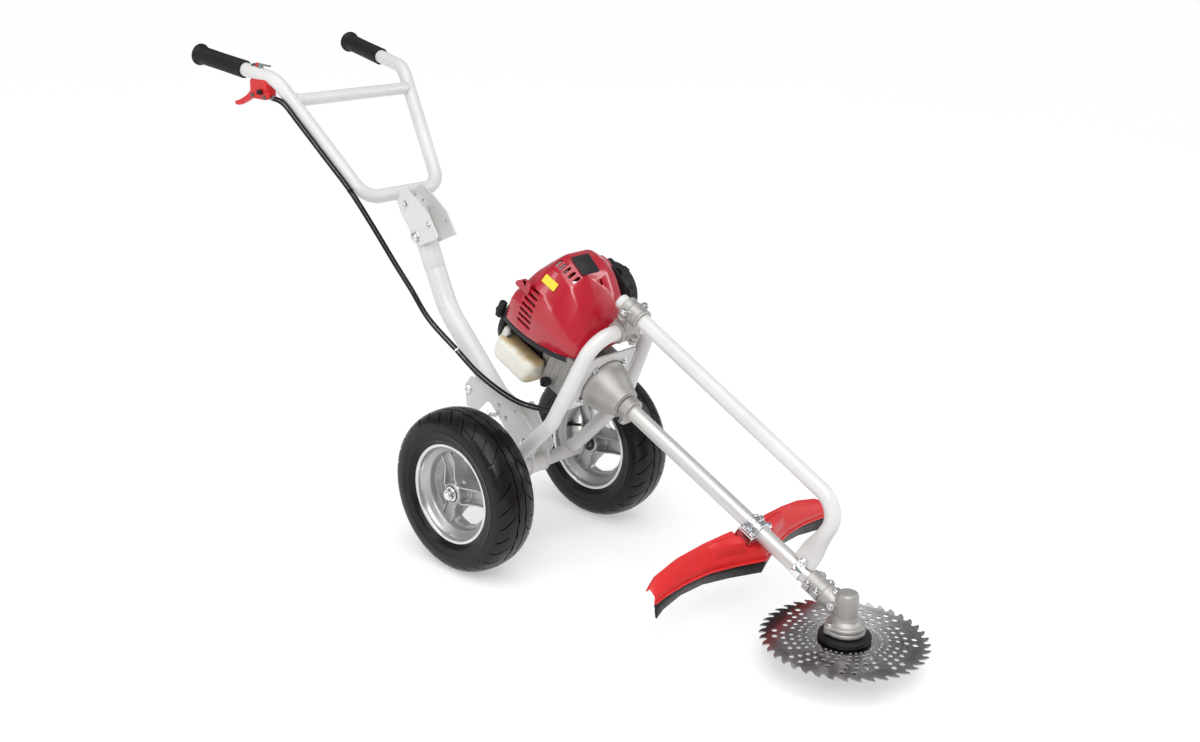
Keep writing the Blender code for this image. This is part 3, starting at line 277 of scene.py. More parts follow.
def metal(name, colour, worn, low, high, grain=1400, strength=0.12, stretch=None, turn=(0, 0, 0),
          metallic=1.0):
    """Bare or plated metal: grain, streaks along one axis if stretch is given, and bright worn edges."""
    f = Finish(name, metallic=metallic)
    where = f.scaled(stretch, turn) if stretch else None
    cloud = f.noise(16, 4.0)
    grit = f.noise(grain, 3.0, vector=where)
    tone = f.blend(f.band(cloud, 0.3, 0.7), colour, tuple(c * 0.8 for c in colour))
    tone = f.blend(f.band(grit, 0.35, 0.65, 0.0, 0.35), tone, tuple(c * 0.62 for c in colour))
    f.colour(f.blend(f.creases(0.51, 0.56), tone, worn))
    f.rough(f.join(f.band(grit, 0.3, 0.7, 0.0, 0.5), f.band(cloud, 0.3, 0.7, 0.0, 0.5)), low, high)
    f.bump(grit, strength, 0.0003)
    return f.material


def cast(name, colour, low=0.42, high=0.62):
    """Cast and blasted aluminium: a coarse skin with soft pits and rubbed edges."""
    f = Finish(name, metallic=0.8)
    skin = f.noise(1100, 4.0, 0.7)
    pits = f.cells(520)
    tone = f.blend(f.band(f.noise(30, 4.0), 0.3, 0.7), colour, tuple(c * 0.84 for c in colour))
    tone = f.blend(f.band(pits, 0.0, 0.25, 0.3, 0.0), tone, tuple(c * 0.5 for c in colour))
    f.colour(f.blend(f.creases(0.52, 0.6), tone, tuple(min(1.0, c * 1.35) for c in colour)))
    f.rough(skin, low, high)
    f.bump(skin, 0.22, 0.0005)
    f.bump(pits, 0.1, 0.0004)
    return f.material


def rubber(name, colour, grey, grain, strength, low=0.48, high=0.72):
    """Moulded rubber: finely grained, with patches of pale bloom."""
    f = Finish(name, Specular_IOR_Level=0.26)
    bloom = f.band(f.noise(22, 5.0, 0.6), 0.42, 0.72, 0.0, 0.75)
    f.colour(f.blend(bloom, colour, grey))
    f.rough(f.noise(160, 4.0), low, high)
    f.bump(f.noise(grain, 3.0), strength, 0.0005)
    return f.material


def leather_plastic(name, colour):
    """Black moulded plastic with a spark-eroded texture of small cells."""
    f = Finish(name, Specular_IOR_Level=0.26)
    cloud = f.noise(25, 3.0)
    f.colour(f.blend(f.band(cloud, 0.35, 0.7), colour, tuple(c * 1.9 for c in colour)))
    f.rough(cloud, 0.38, 0.52)
    f.bump(f.cells(900), 0.12, 0.0003)
    return f.material


def saw_steel():
    """Ground blade steel: fine rings from the grinder, radial stains and a bright rubbed rim."""
    f = Finish("saw_steel", metallic=1.0, Anisotropic=0.65)
    centre = SPINDLE.translation
    lines = f.rings(centre, "Z", 2600)
    broad = f.rings(centre, "Z", 120)
    stain = f.noise(26, 5.0, 0.62, distortion=0.6)
    tone = f.blend(f.band(stain, 0.36, 0.66), (0.36, 0.345, 0.35), (0.2, 0.185, 0.195))
    tone = f.blend(f.band(broad, 0.4, 0.6, 0.0, 0.25), tone, (0.5, 0.49, 0.5))
    f.colour(f.blend(f.band(f.radius(centre, "Z"), 0.114, 0.12), tone, (0.44, 0.43, 0.44)))
    f.rough(lines, 0.09, 0.2)
    f.bump(lines, 0.1, 0.0002)
    tangent = f.tree.nodes.new("ShaderNodeTangent")
    tangent.direction_type = "RADIAL"
    tangent.axis = "Z"
    f.link(tangent.outputs["Tangent"], f.shader.inputs["Tangent"])
    return f.material


def tank_plastic():
    """Milky blow-moulded plastic; fuel shows amber along its upper edge and in its front corner."""
    f = Finish("tank_plastic", Subsurface_Weight=0.3, Subsurface_Radius=(0.012, 0.009, 0.005),
               Subsurface_Scale=0.6, Coat_Weight=0.3, Coat_Roughness=0.2)
    cloud = f.noise(38, 4.0)
    milk = f.blend(f.band(cloud, 0.3, 0.7), (0.8, 0.785, 0.71), (0.76, 0.735, 0.64))
    drift = f.band(cloud, 0.3, 0.7, -0.003, 0.003)
    amber = []
    for axis, start, end in (((0, 0, 1), -0.02, -0.0125), ((0, -1, -0.25), -0.08, -0.07)):
        along = ENGINE.to_3x3() @ Vector(axis)
        level = f.tree.nodes.new("ShaderNodeVectorMath")
        level.operation = "DOT_PRODUCT"
        f.link(f.where, level.inputs[0])
        level.inputs[1].default_value = along
        base = ENGINE.translation.dot(along)
        amber.append(f.band(f.join(level.outputs["Value"], drift), base + start, base + end, 0.0, 0.85))
    f.colour(f.blend(f.join(*amber, "MAXIMUM"), milk, (0.46, 0.3, 0.1)))
    f.rough(f.noise(60, 3.0), 0.28, 0.42)
    f.bump(f.noise(700, 2.0), 0.05, 0.0004)
    return f.material


FLOOR = floor_paper()
# The second colour given to painted() serves both its dust specks and the painted shade in its hollows.
WHITE = painted("white_powder_coat", (0.7, 0.69, 0.675), (0.52, 0.5, 0.47), 0.26, 0.4, grain=700,
                strength=0.06, coat=0.15)
CAST = cast("cast_metal", (0.47, 0.455, 0.435))
RIM = cast("rim_metal", (0.5, 0.495, 0.485), 0.3, 0.48)
LIP = metal("turned_lip", (0.78, 0.775, 0.76), (0.9, 0.9, 0.9), 0.22, 0.36, grain=2200)
BRUSHED = metal("brushed_tube", (0.5, 0.485, 0.455), (0.66, 0.65, 0.63), 0.4, 0.56, grain=600, strength=0.1,
                stretch=(9, 0.25, 9), turn=(-DRIVE_ANGLE, 0, 0), metallic=0.7)
STEEL = metal("bright_steel", (0.58, 0.575, 0.57), (0.8, 0.8, 0.8), 0.22, 0.4)
ZINC = metal("zinc_plate", (0.7, 0.71, 0.73), (0.92, 0.92, 0.92), 0.14, 0.3, grain=900, strength=0.06)
DARK_STEEL = metal("dark_steel", (0.1, 0.1, 0.105), (0.3, 0.3, 0.3), 0.32, 0.5)
BRASS = metal("brass", (0.62, 0.43, 0.14), (0.8, 0.62, 0.3), 0.25, 0.4)
TYRE = rubber("tyre_rubber", (0.005, 0.005, 0.006), (0.012, 0.012, 0.013), 900, 0.08, 0.22, 0.36)
GRIP = rubber("grip_rubber", (0.006, 0.006, 0.007), (0.013, 0.013, 0.014), 1500, 0.14, 0.42, 0.6)
SKIRT = rubber("skirt_rubber", (0.012, 0.008, 0.008), (0.024, 0.018, 0.018), 500, 0.08, 0.35, 0.55)
SHEATH = rubber("cable_sheath", (0.005, 0.005, 0.006), (0.01, 0.01, 0.011), 800, 0.05, 0.26, 0.4)
BLACK = leather_plastic("black_plastic", (0.008, 0.008, 0.009))
TRIM = leather_plastic("trim_plastic", (0.016, 0.016, 0.018))
CRIMSON = painted("crimson_gloss", (0.44, 0.003, 0.018), (0.42, 0.015, 0.03), 0.2, 0.3, grain=420,
                  strength=0.03, coat=0.5)
SCARLET = painted("scarlet_plastic", (0.64, 0.01, 0.011), (0.56, 0.04, 0.03), 0.34, 0.48, grain=650,
                  strength=0.07)
YELLOW = painted("yellow_plate", (0.86, 0.66, 0.03), (0.6, 0.45, 0.05), 0.3, 0.4)
PEARL = painted("pearl_plastic", (0.72, 0.7, 0.66), (0.6, 0.58, 0.52), 0.12, 0.22, grain=500, strength=0.03,
                coat=0.8)
TANK = tank_plastic()
SAW = saw_steel()


# ---------------------------------------------------------------- shapes as (vertices, faces)

def lathe(profile, steps=48, centre=(0, 0, 0), axis="Z"):
    """Turns a closed outline of (radius, distance[, sides]) points; sides 6 makes that ring a hexagon."""
    verts, rows, faces = [], [], []
    for radius, along, *sides in profile:
        if radius < 1e-7:
            rows.append([len(verts)] * steps)
            verts.append(placed(0.0, 0.0, along, axis, centre))
            continue
        rows.append(list(range(len(verts), len(verts) + steps)))
        for i in range(steps):
            turn = 2 * math.pi * i / steps
            size = radius
            if sides:
                half = math.pi / sides[0]
                size = min(radius, sides[1] * math.cos(half) / math.cos(turn % (2 * half) - half))
            verts.append(placed(size * math.cos(turn), size * math.sin(turn), along, axis, centre))
    for low, high in zip(rows, rows[1:] + rows[:1]):
        for i in range(steps):
            j = (i + 1) % steps
            corners = list(dict.fromkeys((low[i], low[j], high[j], high[i])))
            if len(corners) > 2:
                faces.append(corners)
    return verts, faces


def placed(u, v, along, axis, centre):
    point = {"X": (along, u, v), "Y": (u, along, -v), "Z": (u, v, along)}[axis]
    return Vector(point) + Vector(centre)


def rod(radius, low, high, **where):
    """A solid bar with its rims eased."""
    edge = 0.0006
    return lathe([(0, low), (radius - edge, low), (radius, low + edge), (radius, high - edge),
                  (radius - edge, high), (0, high)], **where)


def sheet(outline, low, high, axis="X", holes=()):
    """A flat plate from an outline and holes, between two planes across an axis."""
    loops = [outline, *holes]
    flat = [point for loop in loops for point in loop]
    order = {"X": lambda a, b, t: (t, a, b), "Y": lambda a, b, t: (a, t, b), "Z": lambda a, b, t: (a, b, t)}
    verts = [Vector(order[axis](a, b, t)) for t in (low, high) for a, b in flat]
    caps = tessellate_polygon([[Vector((a, b, 0)) for a, b in loop] for loop in loops])
    count = len(flat)
    faces = [tuple(tri) for tri in caps] + [tuple(i + count for i in reversed(tri)) for tri in caps]
    first = 0
    for loop in loops:
        for i in range(len(loop)):
            j = (i + 1) % len(loop)
            faces.append((first + i, first + j, first + j + count, first + i + count))
        first += len(loop)
    return verts, faces


def loft(sections):
    """A closed body through sections that all have the same number of points."""
    count = len(sections[0])
    verts = [point for section in sections for point in section]
    faces = []
    for k in range(len(sections) - 1):
        for i in range(count):
            j = (i + 1) % count
            faces.append((k * count + i, k * count + j, (k + 1) * count + j, (k + 1) * count + i))
    last = (len(sections) - 1) * count
    for tri in tessellate_polygon([sections[0]]):
        faces += [tuple(tri), tuple(i + last for i in reversed(tri))]
    return verts, faces


def circle(centre, radius, steps=32):
    return [(centre[0] + radius * math.cos(2 * math.pi * i / steps),
             centre[1] + radius * math.sin(2 * math.pi * i / steps)) for i in range(steps)]


def arc(centre, radius, first, last, steps=24):
    turns = [math.radians(first + (last - first) * k / steps) for k in range(steps + 1)]
    return [(centre[0] + radius * math.cos(t), centre[1] + radius * math.sin(t)) for t in turns]


def rounded(points, radii, steps=6, closed=False):
    """The points with each corner replaced by an arc of its radius."""
    points = [Vector(p) for p in points]
    out = []
    for i, corner in enumerate(points):
        radius = radii[i] if isinstance(radii, (list, tuple)) else radii
        if not radius or (not closed and i in (0, len(points) - 1)):
            out.append(corner)
            continue
        before = (points[i - 1] - corner).normalized()
        after = (points[(i + 1) % len(points)] - corner).normalized()
        half = before.angle(after) / 2
        centre = corner + (before + after).normalized() * radius / math.sin(half)
        first = corner + before * radius / math.tan(half) - centre
        last = corner + after * radius / math.tan(half) - centre
        angle = first.angle(last)
        for k in range(steps + 1):
            share = k / steps
            bent = first * math.sin(angle * (1 - share)) + last * math.sin(angle * share)
            out.append(centre + bent / math.sin(angle))
    return out


def outline(points, radius, steps=6):
    return [tuple(p) for p in rounded(points, radius, steps, closed=True)]


def block(low, high, radius, axis="X", steps=4):
    """A box whose four edges along one axis are rounded."""
    a, b = [i for i in range(3) if i != "XYZ".index(axis)]
    corners = [(low[a], low[b]), (high[a], low[b]), (high[a], high[b]), (low[a], high[b])]
    return sheet(outline(corners, radius, steps), low["XYZ".index(axis)], high["XYZ".index(axis)], axis)


def frames(path):
    """Sideways unit vectors along a path that turn as little as possible."""
    heading = [(b - a).normalized() for a, b in zip(path, path[1:])]
    tangents = [heading[0]] + [(a + b).normalized() for a, b in zip(heading, heading[1:])] + [heading[-1]]
    side = Vector((1, 0, 0)) - tangents[0] * tangents[0].x
    if side.length < 0.3:
        side = Vector((0, 0, 1)) - tangents[0] * tangents[0].z
    out = []
    for tangent in tangents:
        side = (side - tangent * side.dot(tangent)).normalized()
        out.append((side, tangent.cross(side)))
    return out


def sweep(path, radius, steps=32, shape=None, ease=0.0008):
    """A round bar along a path with eased ends. shape(i) gives the width and depth factors of station i."""
    path = [Vector(p) for p in path]
    sides = frames(path)
    rings = []
    for i, (point, (u, v)) in enumerate(zip(path, sides)):
        wide, deep = shape(i) if shape else (1.0, 1.0)
        rings.append((point, u, v, radius * wide, radius * deep))
    for end, inner in ((0, 1), (-1, -2)):
        point, u, v, wide, deep = rings[end]
        inward = (path[inner] - point).normalized() * ease
        if end == 0:
            rings[0] = (point + inward, u, v, wide, deep)
            rings.insert(0, (point, u, v, wide - ease, deep - ease))
        else:
            rings[-1] = (point + inward, u, v, wide, deep)
            rings.append((point, u, v, wide - ease, deep - ease))
    verts = []
    for point, u, v, wide, deep in rings:
        for k in range(steps):
            turn = 2 * math.pi * k / steps
            verts.append(point + u * (wide * math.cos(turn)) + v * (deep * math.sin(turn)))
    faces = []
    for i in range(len(rings) - 1):
        for k in range(steps):
            j = (k + 1) % steps
            faces.append((i * steps + k, i * steps + j, (i + 1) * steps + j, (i + 1) * steps + k))
    faces.append(tuple(range(steps)))
    faces.append(tuple(range((len(rings) - 1) * steps, len(rings) * steps)))
    return verts, faces


def smooth(points, count=8):
    """Points on a smooth curve through the given ones."""
    points = [Vector(p) for p in points]
    ends = [points[0] * 2 - points[1]] + points + [points[-1] * 2 - points[-2]]
    out = []
    for a, b, c, d in zip(ends, ends[1:], ends[2:], ends[3:]):
        for k in range(count):
            t = k / count
            square = (2 * a - 5 * b + 4 * c - d) * t * t
            cube = (3 * b - a - 3 * c + d) * t ** 3
            out.append(0.5 * (2 * b + (c - a) * t + square + cube))
    return out + [points[-1]]


def bead(radius, thickness=0.0017, ripples=26, stretch=1.0):
    """A weld bead round the Z axis: a torus whose section swells and shrinks in ripples."""
    verts, faces = [], []
    around, across = ripples * 6, 10
    for i in range(around):
        turn = 2 * math.pi * i / around
        size = thickness * (1 + 0.16 * math.cos(ripples * turn))
        for k in range(across):
            lean = 2 * math.pi * k / across
            reach = radius + size * math.cos(lean)
            verts.append(Vector((reach * math.cos(turn), reach * stretch * math.sin(turn),
                                 size * math.sin(lean))))
            j, m = (i + 1) % around, (k + 1) % across
            faces.append((i * across + k, j * across + k, j * across + m, i * across + m))
    return verts, faces


def merged(*shapes):
    verts, faces = [], []
    for more, cells in shapes:
        first = len(verts)
        verts += more
        faces += [tuple(first + i for i in cell) for cell in cells]
    return verts, faces


def moved(shape, matrix):
    return [matrix @ Vector(v) for v in shape[0]], shape[1]


def aim(point, direction, roll=0.0):
    """A frame at a point whose Z axis looks along a direction."""
    turn = Vector(direction).to_track_quat("Z", "X").to_matrix().to_4x4()
    return Matrix.Translation(Vector(point)) @ turn @ Matrix.Rotation(roll, 4, "Z")


def hex_bolt(across=0.0055, height=0.0042, washer=1.5, stud=0.0):
    """A hex head with chamfered corners on a washer, standing on z = 0; stud adds a thread end above it."""
    w = 0.001
    profile = [(0, 0), (across * washer, 0), (across * washer, w * 0.7), (across * washer - 0.0003, w),
               (across * 1.02, w, 6, across), (across * 1.02, w + height * 0.8, 6, across),
               (across * 0.8, w + height, 6, across)]
    if stud:
        core = across * 0.5
        profile += [(core, w + height), (core, w + height + stud * 0.8), (core * 0.8, w + height + stud),
                    (0, w + height + stud)]
    else:
        profile += [(across * 0.55, w + height * 0.96), (0, w + height * 0.94)]
    return lathe(profile, 36)


def socket_bolt(radius=0.0045, height=0.0045):
    """A cap screw with a hexagon socket, standing on z = 0."""
    well = radius * 0.52
    profile = [(0, 0), (radius * 1.7, 0), (radius * 1.7, 0.0007), (radius * 1.65, 0.001), (radius, 0.001),
               (radius, height * 0.9), (radius * 0.9, height), (well * 1.15, height),
               (well, height * 0.96, 6, well), (well, height * 0.45, 6, well), (0, height * 0.4)]
    return lathe(profile, 36)


# ---------------------------------------------------------------- pieces

def mesh_object(name, shape, at, weld):
    """An object in the scene from points and faces, with its faces turned outwards."""
    verts, faces = shape
    mesh = bpy.data.meshes.new(name)
    mesh.from_pydata([tuple(at @ Vector(v)) for v in verts], [], [tuple(f) for f in faces])
    work = bmesh.new()
    work.from_mesh(mesh)
    if weld:
        bmesh.ops.remove_doubles(work, verts=work.verts, dist=SAME_POINT)
    bmesh.ops.recalc_face_normals(work, faces=work.faces)
    work.to_mesh(mesh)
    work.free()
    obj = bpy.data.objects.new(name, mesh)
    bpy.context.scene.collection.objects.link(obj)
    return obj


def ease(obj, width, segments=2, angle=40):
    """Rounds the edges that are sharper than an angle in degrees."""
    edge = obj.modifiers.new("Edges", "BEVEL")
    edge.width = width
    edge.segments = segments
    edge.limit_method = "ANGLE"
    edge.angle_limit = math.radians(angle)


def make(name, shape, material, body="chassis", at=MACHINE, replaces=(), slot=None, bevel=0.0, segments=2,
         angle=38, weld=True):
    """One piece that rides on a body, with its edges eased by a bevel where asked."""
    obj = mesh_object(name, shape, at, weld)
    obj.data.materials.append(material)
    obj.data.shade_smooth()
    obj.data.set_sharp_from_angle(angle=math.radians(angle))
    if bevel:
        ease(obj, bevel, segments)
    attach(obj, body)
    if replaces:
        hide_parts(*replaces)
    return obj


def cut(obj, shapes, at=MACHINE):
    """Takes shapes out of a piece with exact booleans and applies them."""
    for shape in shapes:
        tool = mesh_object("cutter", shape, at, False)
        step = obj.modifiers.new("Cut", "BOOLEAN")
        step.operation = "DIFFERENCE"
        step.solver = "EXACT"
        step.object = tool
        settle(obj)
        bpy.data.objects.remove(tool)
    return obj


def settle(obj, angle=38):
    """Replaces the mesh by what its modifiers make of it."""
    graph = bpy.context.evaluated_depsgraph_get()
    made = bpy.data.meshes.new_from_object(obj.evaluated_get(graph), depsgraph=graph)
    obj.modifiers.clear()
    old = obj.data
    obj.data = made
    bpy.data.meshes.remove(old)
    made.shade_smooth()
    made.set_sharp_from_angle(angle=math.radians(angle))


def casting(name, shapes, material, voxel=0.0009, rounds=3, cuts=(), **options):
    """Shapes grown together into one skin with small fillets, as a casting has."""
    obj = make(name, merged(*shapes), material, weld=False, **options)
    skin = obj.modifiers.new("Skin", "REMESH")
    skin.mode = "VOXEL"
    skin.voxel_size = voxel
    settle(obj)
    obj.data.materials.clear()
    obj.data.materials.append(material)
    soften = obj.modifiers.new("Soften", "SMOOTH")
    soften.factor = 0.5
    soften.iterations = rounds
    settle(obj, 60)
    if cuts:
        cut(obj, cuts, options.get("at", MACHINE))
    return obj


def dress(finish, *nodes, bevel=0.0):
    """CAD nodes whose shape is right get a finish, and their edges are eased where asked."""
    for node in nodes:
        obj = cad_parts[node]
        obj.data.materials.clear()
        obj.data.materials.append(finish)
        if bevel:
            ease(obj, bevel)


# ---------------------------------------------------------------- wheels

TYRE_HALF = [(0.14, 0.0), (0.1396, 0.008), (0.138, 0.019), (0.1352, 0.0275), (0.1305, 0.0348),
             (0.122, 0.0396), (0.106, 0.0408), (0.096, 0.0392), (0.0905, 0.0362), (0.0872, 0.03),
             (0.084, 0.0292)]
PITCHES = 15


def tyre_rows():
    """(distance from the crown, point, normal) stations of half the tyre's outer skin."""
    curve = smooth([Vector((x, r, 0)) for r, x in TYRE_HALF], 16)
    rows, travelled = [], 0.0
    for i, point in enumerate(curve):
        if i:
            travelled += (point - curve[i - 1]).length
        ahead = (curve[min(i + 1, len(curve) - 1)] - curve[max(i - 1, 0)]).normalized()
        rows.append((travelled, point, Vector((-ahead.y, ahead.x, 0))))
    return rows


def tyre(side):
    """A tyre whose mesh lines follow its slanted grooves, so that every groove has crisp walls."""
    word, body = ("right", "wheel_right") if side < 0 else ("left", "wheel_left")
    fine = tyre_rows()
    stops = [0.0, 0.0035, 0.0062, 0.0068, 0.0086, 0.0092, 0.012, 0.015, 0.018, 0.021, 0.024, 0.027, 0.03,
             0.033, 0.036, 0.039, 0.042, 0.045, 0.048, 0.051, 0.054, 0.057, 0.06, 0.0604, 0.0612, 0.0616,
             0.067, 0.072, 0.0724, 0.074, 0.0744, 0.079, 0.083, fine[-1][0]]
    columns = [(0.0, 0), (0.01, 1), (0.046, 1), (0.056, 0), (0.12, 0), (0.19, 0), (0.26, 0), (0.33, 0),
               (0.4, 0), (0.46, 0), (0.5, 0), (0.51, 2), (0.546, 2), (0.556, 0), (0.62, 0), (0.69, 0),
               (0.76, 0), (0.83, 0), (0.9, 0), (0.96, 0)]
    signed = [-s for s in reversed(stops[1:])] + stops
    verts = []
    around = PITCHES * len(columns)
    for s in signed:
        reach = abs(s)
        for i in range(around):
            share, kind = columns[i % len(columns)]
            pitch = i // len(columns)
            turn = 2 * math.pi * (pitch + share) / PITCHES
            wave = 0.001 * math.sin(4 * math.pi * (pitch + share)) if 0.005 < reach < 0.011 else 0.0
            here = min(range(len(fine)), key=lambda k: abs(fine[k][0] - (reach + wave)))
            _, point, normal = fine[here]
            depth = 0.0
            if 0.0065 < reach < 0.0088:
                depth = 0.0024
            own = kind == 1 if s < 0 else kind == 2
            other = kind == 2 if s < 0 else kind == 1
            if own and 0.013 <= reach < 0.044:
                depth = 0.0034 * min(1.0, (0.044 - reach) / 0.01)
            if other and 0.023 <= reach < 0.0465:
                depth = 0.003 * min(1.0, (0.0465 - reach) / 0.01)
            if 0.0603 < reach < 0.0613 or 0.0723 < reach < 0.0741:
                depth = -0.0005
            spot = point - normal * depth
            lean = turn - 0.34 * (1 - min(reach, 0.055) / 0.055) ** 1.6
            verts.append(Vector((math.copysign(spot.x, s if s else 1) + side * WHEEL_X,
                                 spot.y * math.cos(lean), spot.y * math.sin(lean) + TYRE_RADIUS)))
    faces = []
    count = len(signed)
    for row in range(count):
        following = (row + 1) % count
        for i in range(around):
            j = (i + 1) % around
            faces.append((row * around + i, row * around + j, following * around + j,
                          following * around + i))
    make(f"tyre_tread_{word}", (verts, faces), TYRE, body, replaces=[f"tyre_{word}"], slot="tyre", angle=32)


def spoke_turn(side, k):
    """The angle of spoke k in the rim's own frame, whose X axis looks down or up by side."""
    return math.pi / 2 + side * math.radians(60 + 120 * k)


def window(side, k):
    """The opening between two spokes."""
    fan = [(0.0245, -0.3), (0.0575, -0.8), (0.0615, -0.74), (0.0628, -0.42), (0.0632, 0.0), (0.0628, 0.42),
           (0.0615, 0.74), (0.0575, 0.8), (0.0245, 0.3)]
    middle = spoke_turn(side, k) + math.pi / 3
    return [(r * math.cos(middle + a), r * math.sin(middle + a)) for r, a in fan]


def rim(side):
    """A cast rim: a turned lip, a stepped barrel and three forked spokes round a hub."""
    word, body = ("right", "wheel_right") if side < 0 else ("left", "wheel_left")
    at = MACHINE @ Matrix.Translation((side * WHEEL_X, 0,
                                       TYRE_RADIUS)) @ Matrix.Rotation(side * math.pi / 2, 4, "Y")
    half = [(0.0866, 0.0325), (0.0866, 0.0303), (0.0832, 0.0297), (0.0832, 0.0222), (0.0725, 0.017),
            (0.0715, 0.0)]
    lining = [(0.0676, 0.0), (0.068, 0.015), (0.07, 0.0175), (0.0765, 0.0205), (0.079, 0.0232),
              (0.08, 0.029), (0.0812, 0.0322), (0.083, 0.0325)]
    loop = half + [(r, -x) for r, x in reversed(half[:-1])] + [(r, -x) for r,
                                                               x in reversed(lining[1:])] + lining
    barrel = make(f"rim_barrel_{word}", lathe(loop, 96), RIM, body, at, replaces=[f"rim_{word}"],
                  slot="cast_aluminium", bevel=0.0008)
    barrel.data.materials.append(LIP)
    for poly in barrel.data.polygons:
        centre = at.inverted() @ poly.center
        if abs(centre.z) > 0.024 and math.hypot(centre.x, centre.y) > 0.0785:
            poly.material_index = 1
    shapes = [sheet(circle((0, 0), 0.0695, 96), -0.005, 0.006, "Z", [window(side, k) for k in range(3)])]
    gusset = [(0.012, -0.023), (0.02, -0.023), (0.044, -0.011), (0.0695, -0.009), (0.0695, 0.011),
              (0.046, 0.012), (0.022, 0.024), (0.012, 0.024)]
    for k in range(3):
        spin = Matrix.Rotation(spoke_turn(side, k), 4, "Z")
        for lean in (-1, 1):
            rib = [Vector((r, lean * (0.015 - 0.0035 * (r - 0.012) / 0.057), z)) for r, z in gusset]
            verts = [p + Vector((0, w, 0)) for w in (-0.0015, 0.0015) for p in rib]
            count = len(rib)
            faces = [tuple(range(count)), tuple(range(count, 2 * count))]
            faces += [(i, (i + 1) % count, (i + 1) % count + count, i + count) for i in range(count)]
            shapes.append(moved((verts, faces), spin))
    hub = lathe([(0, -0.0288), (0.0165, -0.0288), (0.019, -0.0262), (0.02, -0.012), (0.0235, -0.006),
                 (0.0235, 0.008), (0.0205, 0.013), (0.019, 0.0262), (0.0165, 0.0288), (0, 0.0288)], 48)
    casting(f"rim_spokes_{word}", [*shapes, hub], RIM, 0.001, 3, body=body, at=at, slot="cast_aluminium")
    seal = lathe([(0.007, 0.0284), (0.014, 0.0284), (0.0146, 0.029), (0.014, 0.0294), (0.0125, 0.0292),
                  (0.009, 0.0294), (0.007, 0.029)], 40)
    flip = Matrix.Rotation(math.pi, 4, "X")
    make(f"hub_seals_{word}", merged(seal, moved(seal, flip)), BLACK, body, at)
    stem = lathe([(0, -0.002), (0.0034, -0.002), (0.0034, 0.0035), (0.0026, 0.005), (0.0026, 0.015),
                  (0.0022, 0.016), (0, 0.016)], 20)
    cap = lathe([(0, 0.0155), (0.003, 0.0155), (0.0032, 0.0165), (0.0032, 0.0215), (0.0024, 0.0225),
                 (0, 0.0225)], 20)
    turn = math.pi / 2 + side * math.radians(12 if side > 0 else 60)
    foot = Vector((0.0672 * math.cos(turn), 0.0672 * math.sin(turn), -0.012))
    inward = Vector((-math.cos(turn) * 0.6, -math.sin(turn) * 0.6, 0.8 * side))
    lean = at @ aim(foot, inward) @ Matrix.Diagonal((1, 1, 1.4, 1))
    make(f"valve_stem_{word}", stem, GRIP, body, lean)
    make(f"valve_cap_{word}", cap, BRASS, body, lean)


def axle_ends():
    centre = Vector((0, 0, TYRE_RADIUS))
    shaft = [(0, -0.2065), (0.0052, -0.2065), (0.006, -0.2056)]
    for k in range(14):
        shaft += [(0.006, -0.205 + 0.0008 * k), (0.0055, -0.2046 + 0.0008 * k)]
    shaft.append((0.006, -0.193))
    shaft += [(r, -x) for r, x in reversed(shaft)]
    make("axle_shaft", lathe(shaft, 32, centre, "X"), STEEL, replaces=["axle"], slot="steel")
    for side, word in ((-1, "right"), (1, "left")):
        at = MACHINE @ aim(centre + Vector((side * 0.1951, 0, 0)), (side, 0, 0), math.radians(11))
        nut = [(0.0063, 0), (0.0122, 0), (0.0124, 0.0008), (0.0106, 0.0012), (0.0102, 0.0014, 6, 0.01),
               (0.0102, 0.0074, 6, 0.01), (0.0086, 0.0084, 6, 0.01), (0.0066, 0.0084), (0.006, 0.0078)]
        make(f"axle_nut_{word}", lathe(nut, 48), ZINC, at=at, replaces=[f"wheel_nut_{word}"], slot="zinc")


# ---------------------------------------------------------------- frame

def hoop():
    """The bent front hoop, welded to the axle tube and the engine plate."""
    drive = MACHINE.inverted() @ ENGINE
    half = [Vector((0.089, -0.0085, TYRE_RADIUS + 0.01)), drive @ Vector((0.087, -0.001, -0.066)),
            drive @ Vector((0.069, -0.001, 0.109))]
    corners = [Vector((-p.x, p.y, p.z)) for p in half] + list(reversed(half))
    make("hoop_tube", sweep(rounded(corners, [0, 0.06, 0.045, 0.045, 0.06, 0], 14), 0.0125, 40), WHITE,
         replaces=["front_hoop"], slot="white_paint")
    beads = []
    for side in (-1, 1):
        foot, knee = half[0].copy(), half[1].copy()
        foot.x, knee.x = side * abs(foot.x), side * abs(knee.x)
        along = (knee - foot).normalized()
        beads.append(moved(bead(0.0128, 0.0016, 24, 1.06), aim(foot + along * 0.0035, along)))
    make("hoop_welds", merged(*beads), WHITE, slot="white_paint")
    centre = (0, 0, TYRE_RADIUS)
    tube = [(0.0063, -0.112), (0.0119, -0.112), (0.0125, -0.1114), (0.0125, 0.1114), (0.0119, 0.112),
            (0.0063, 0.112)]
    make("axle_sleeve", lathe(tube, 48, centre, "X"), WHITE, replaces=["axle_tube"], slot="white_paint")


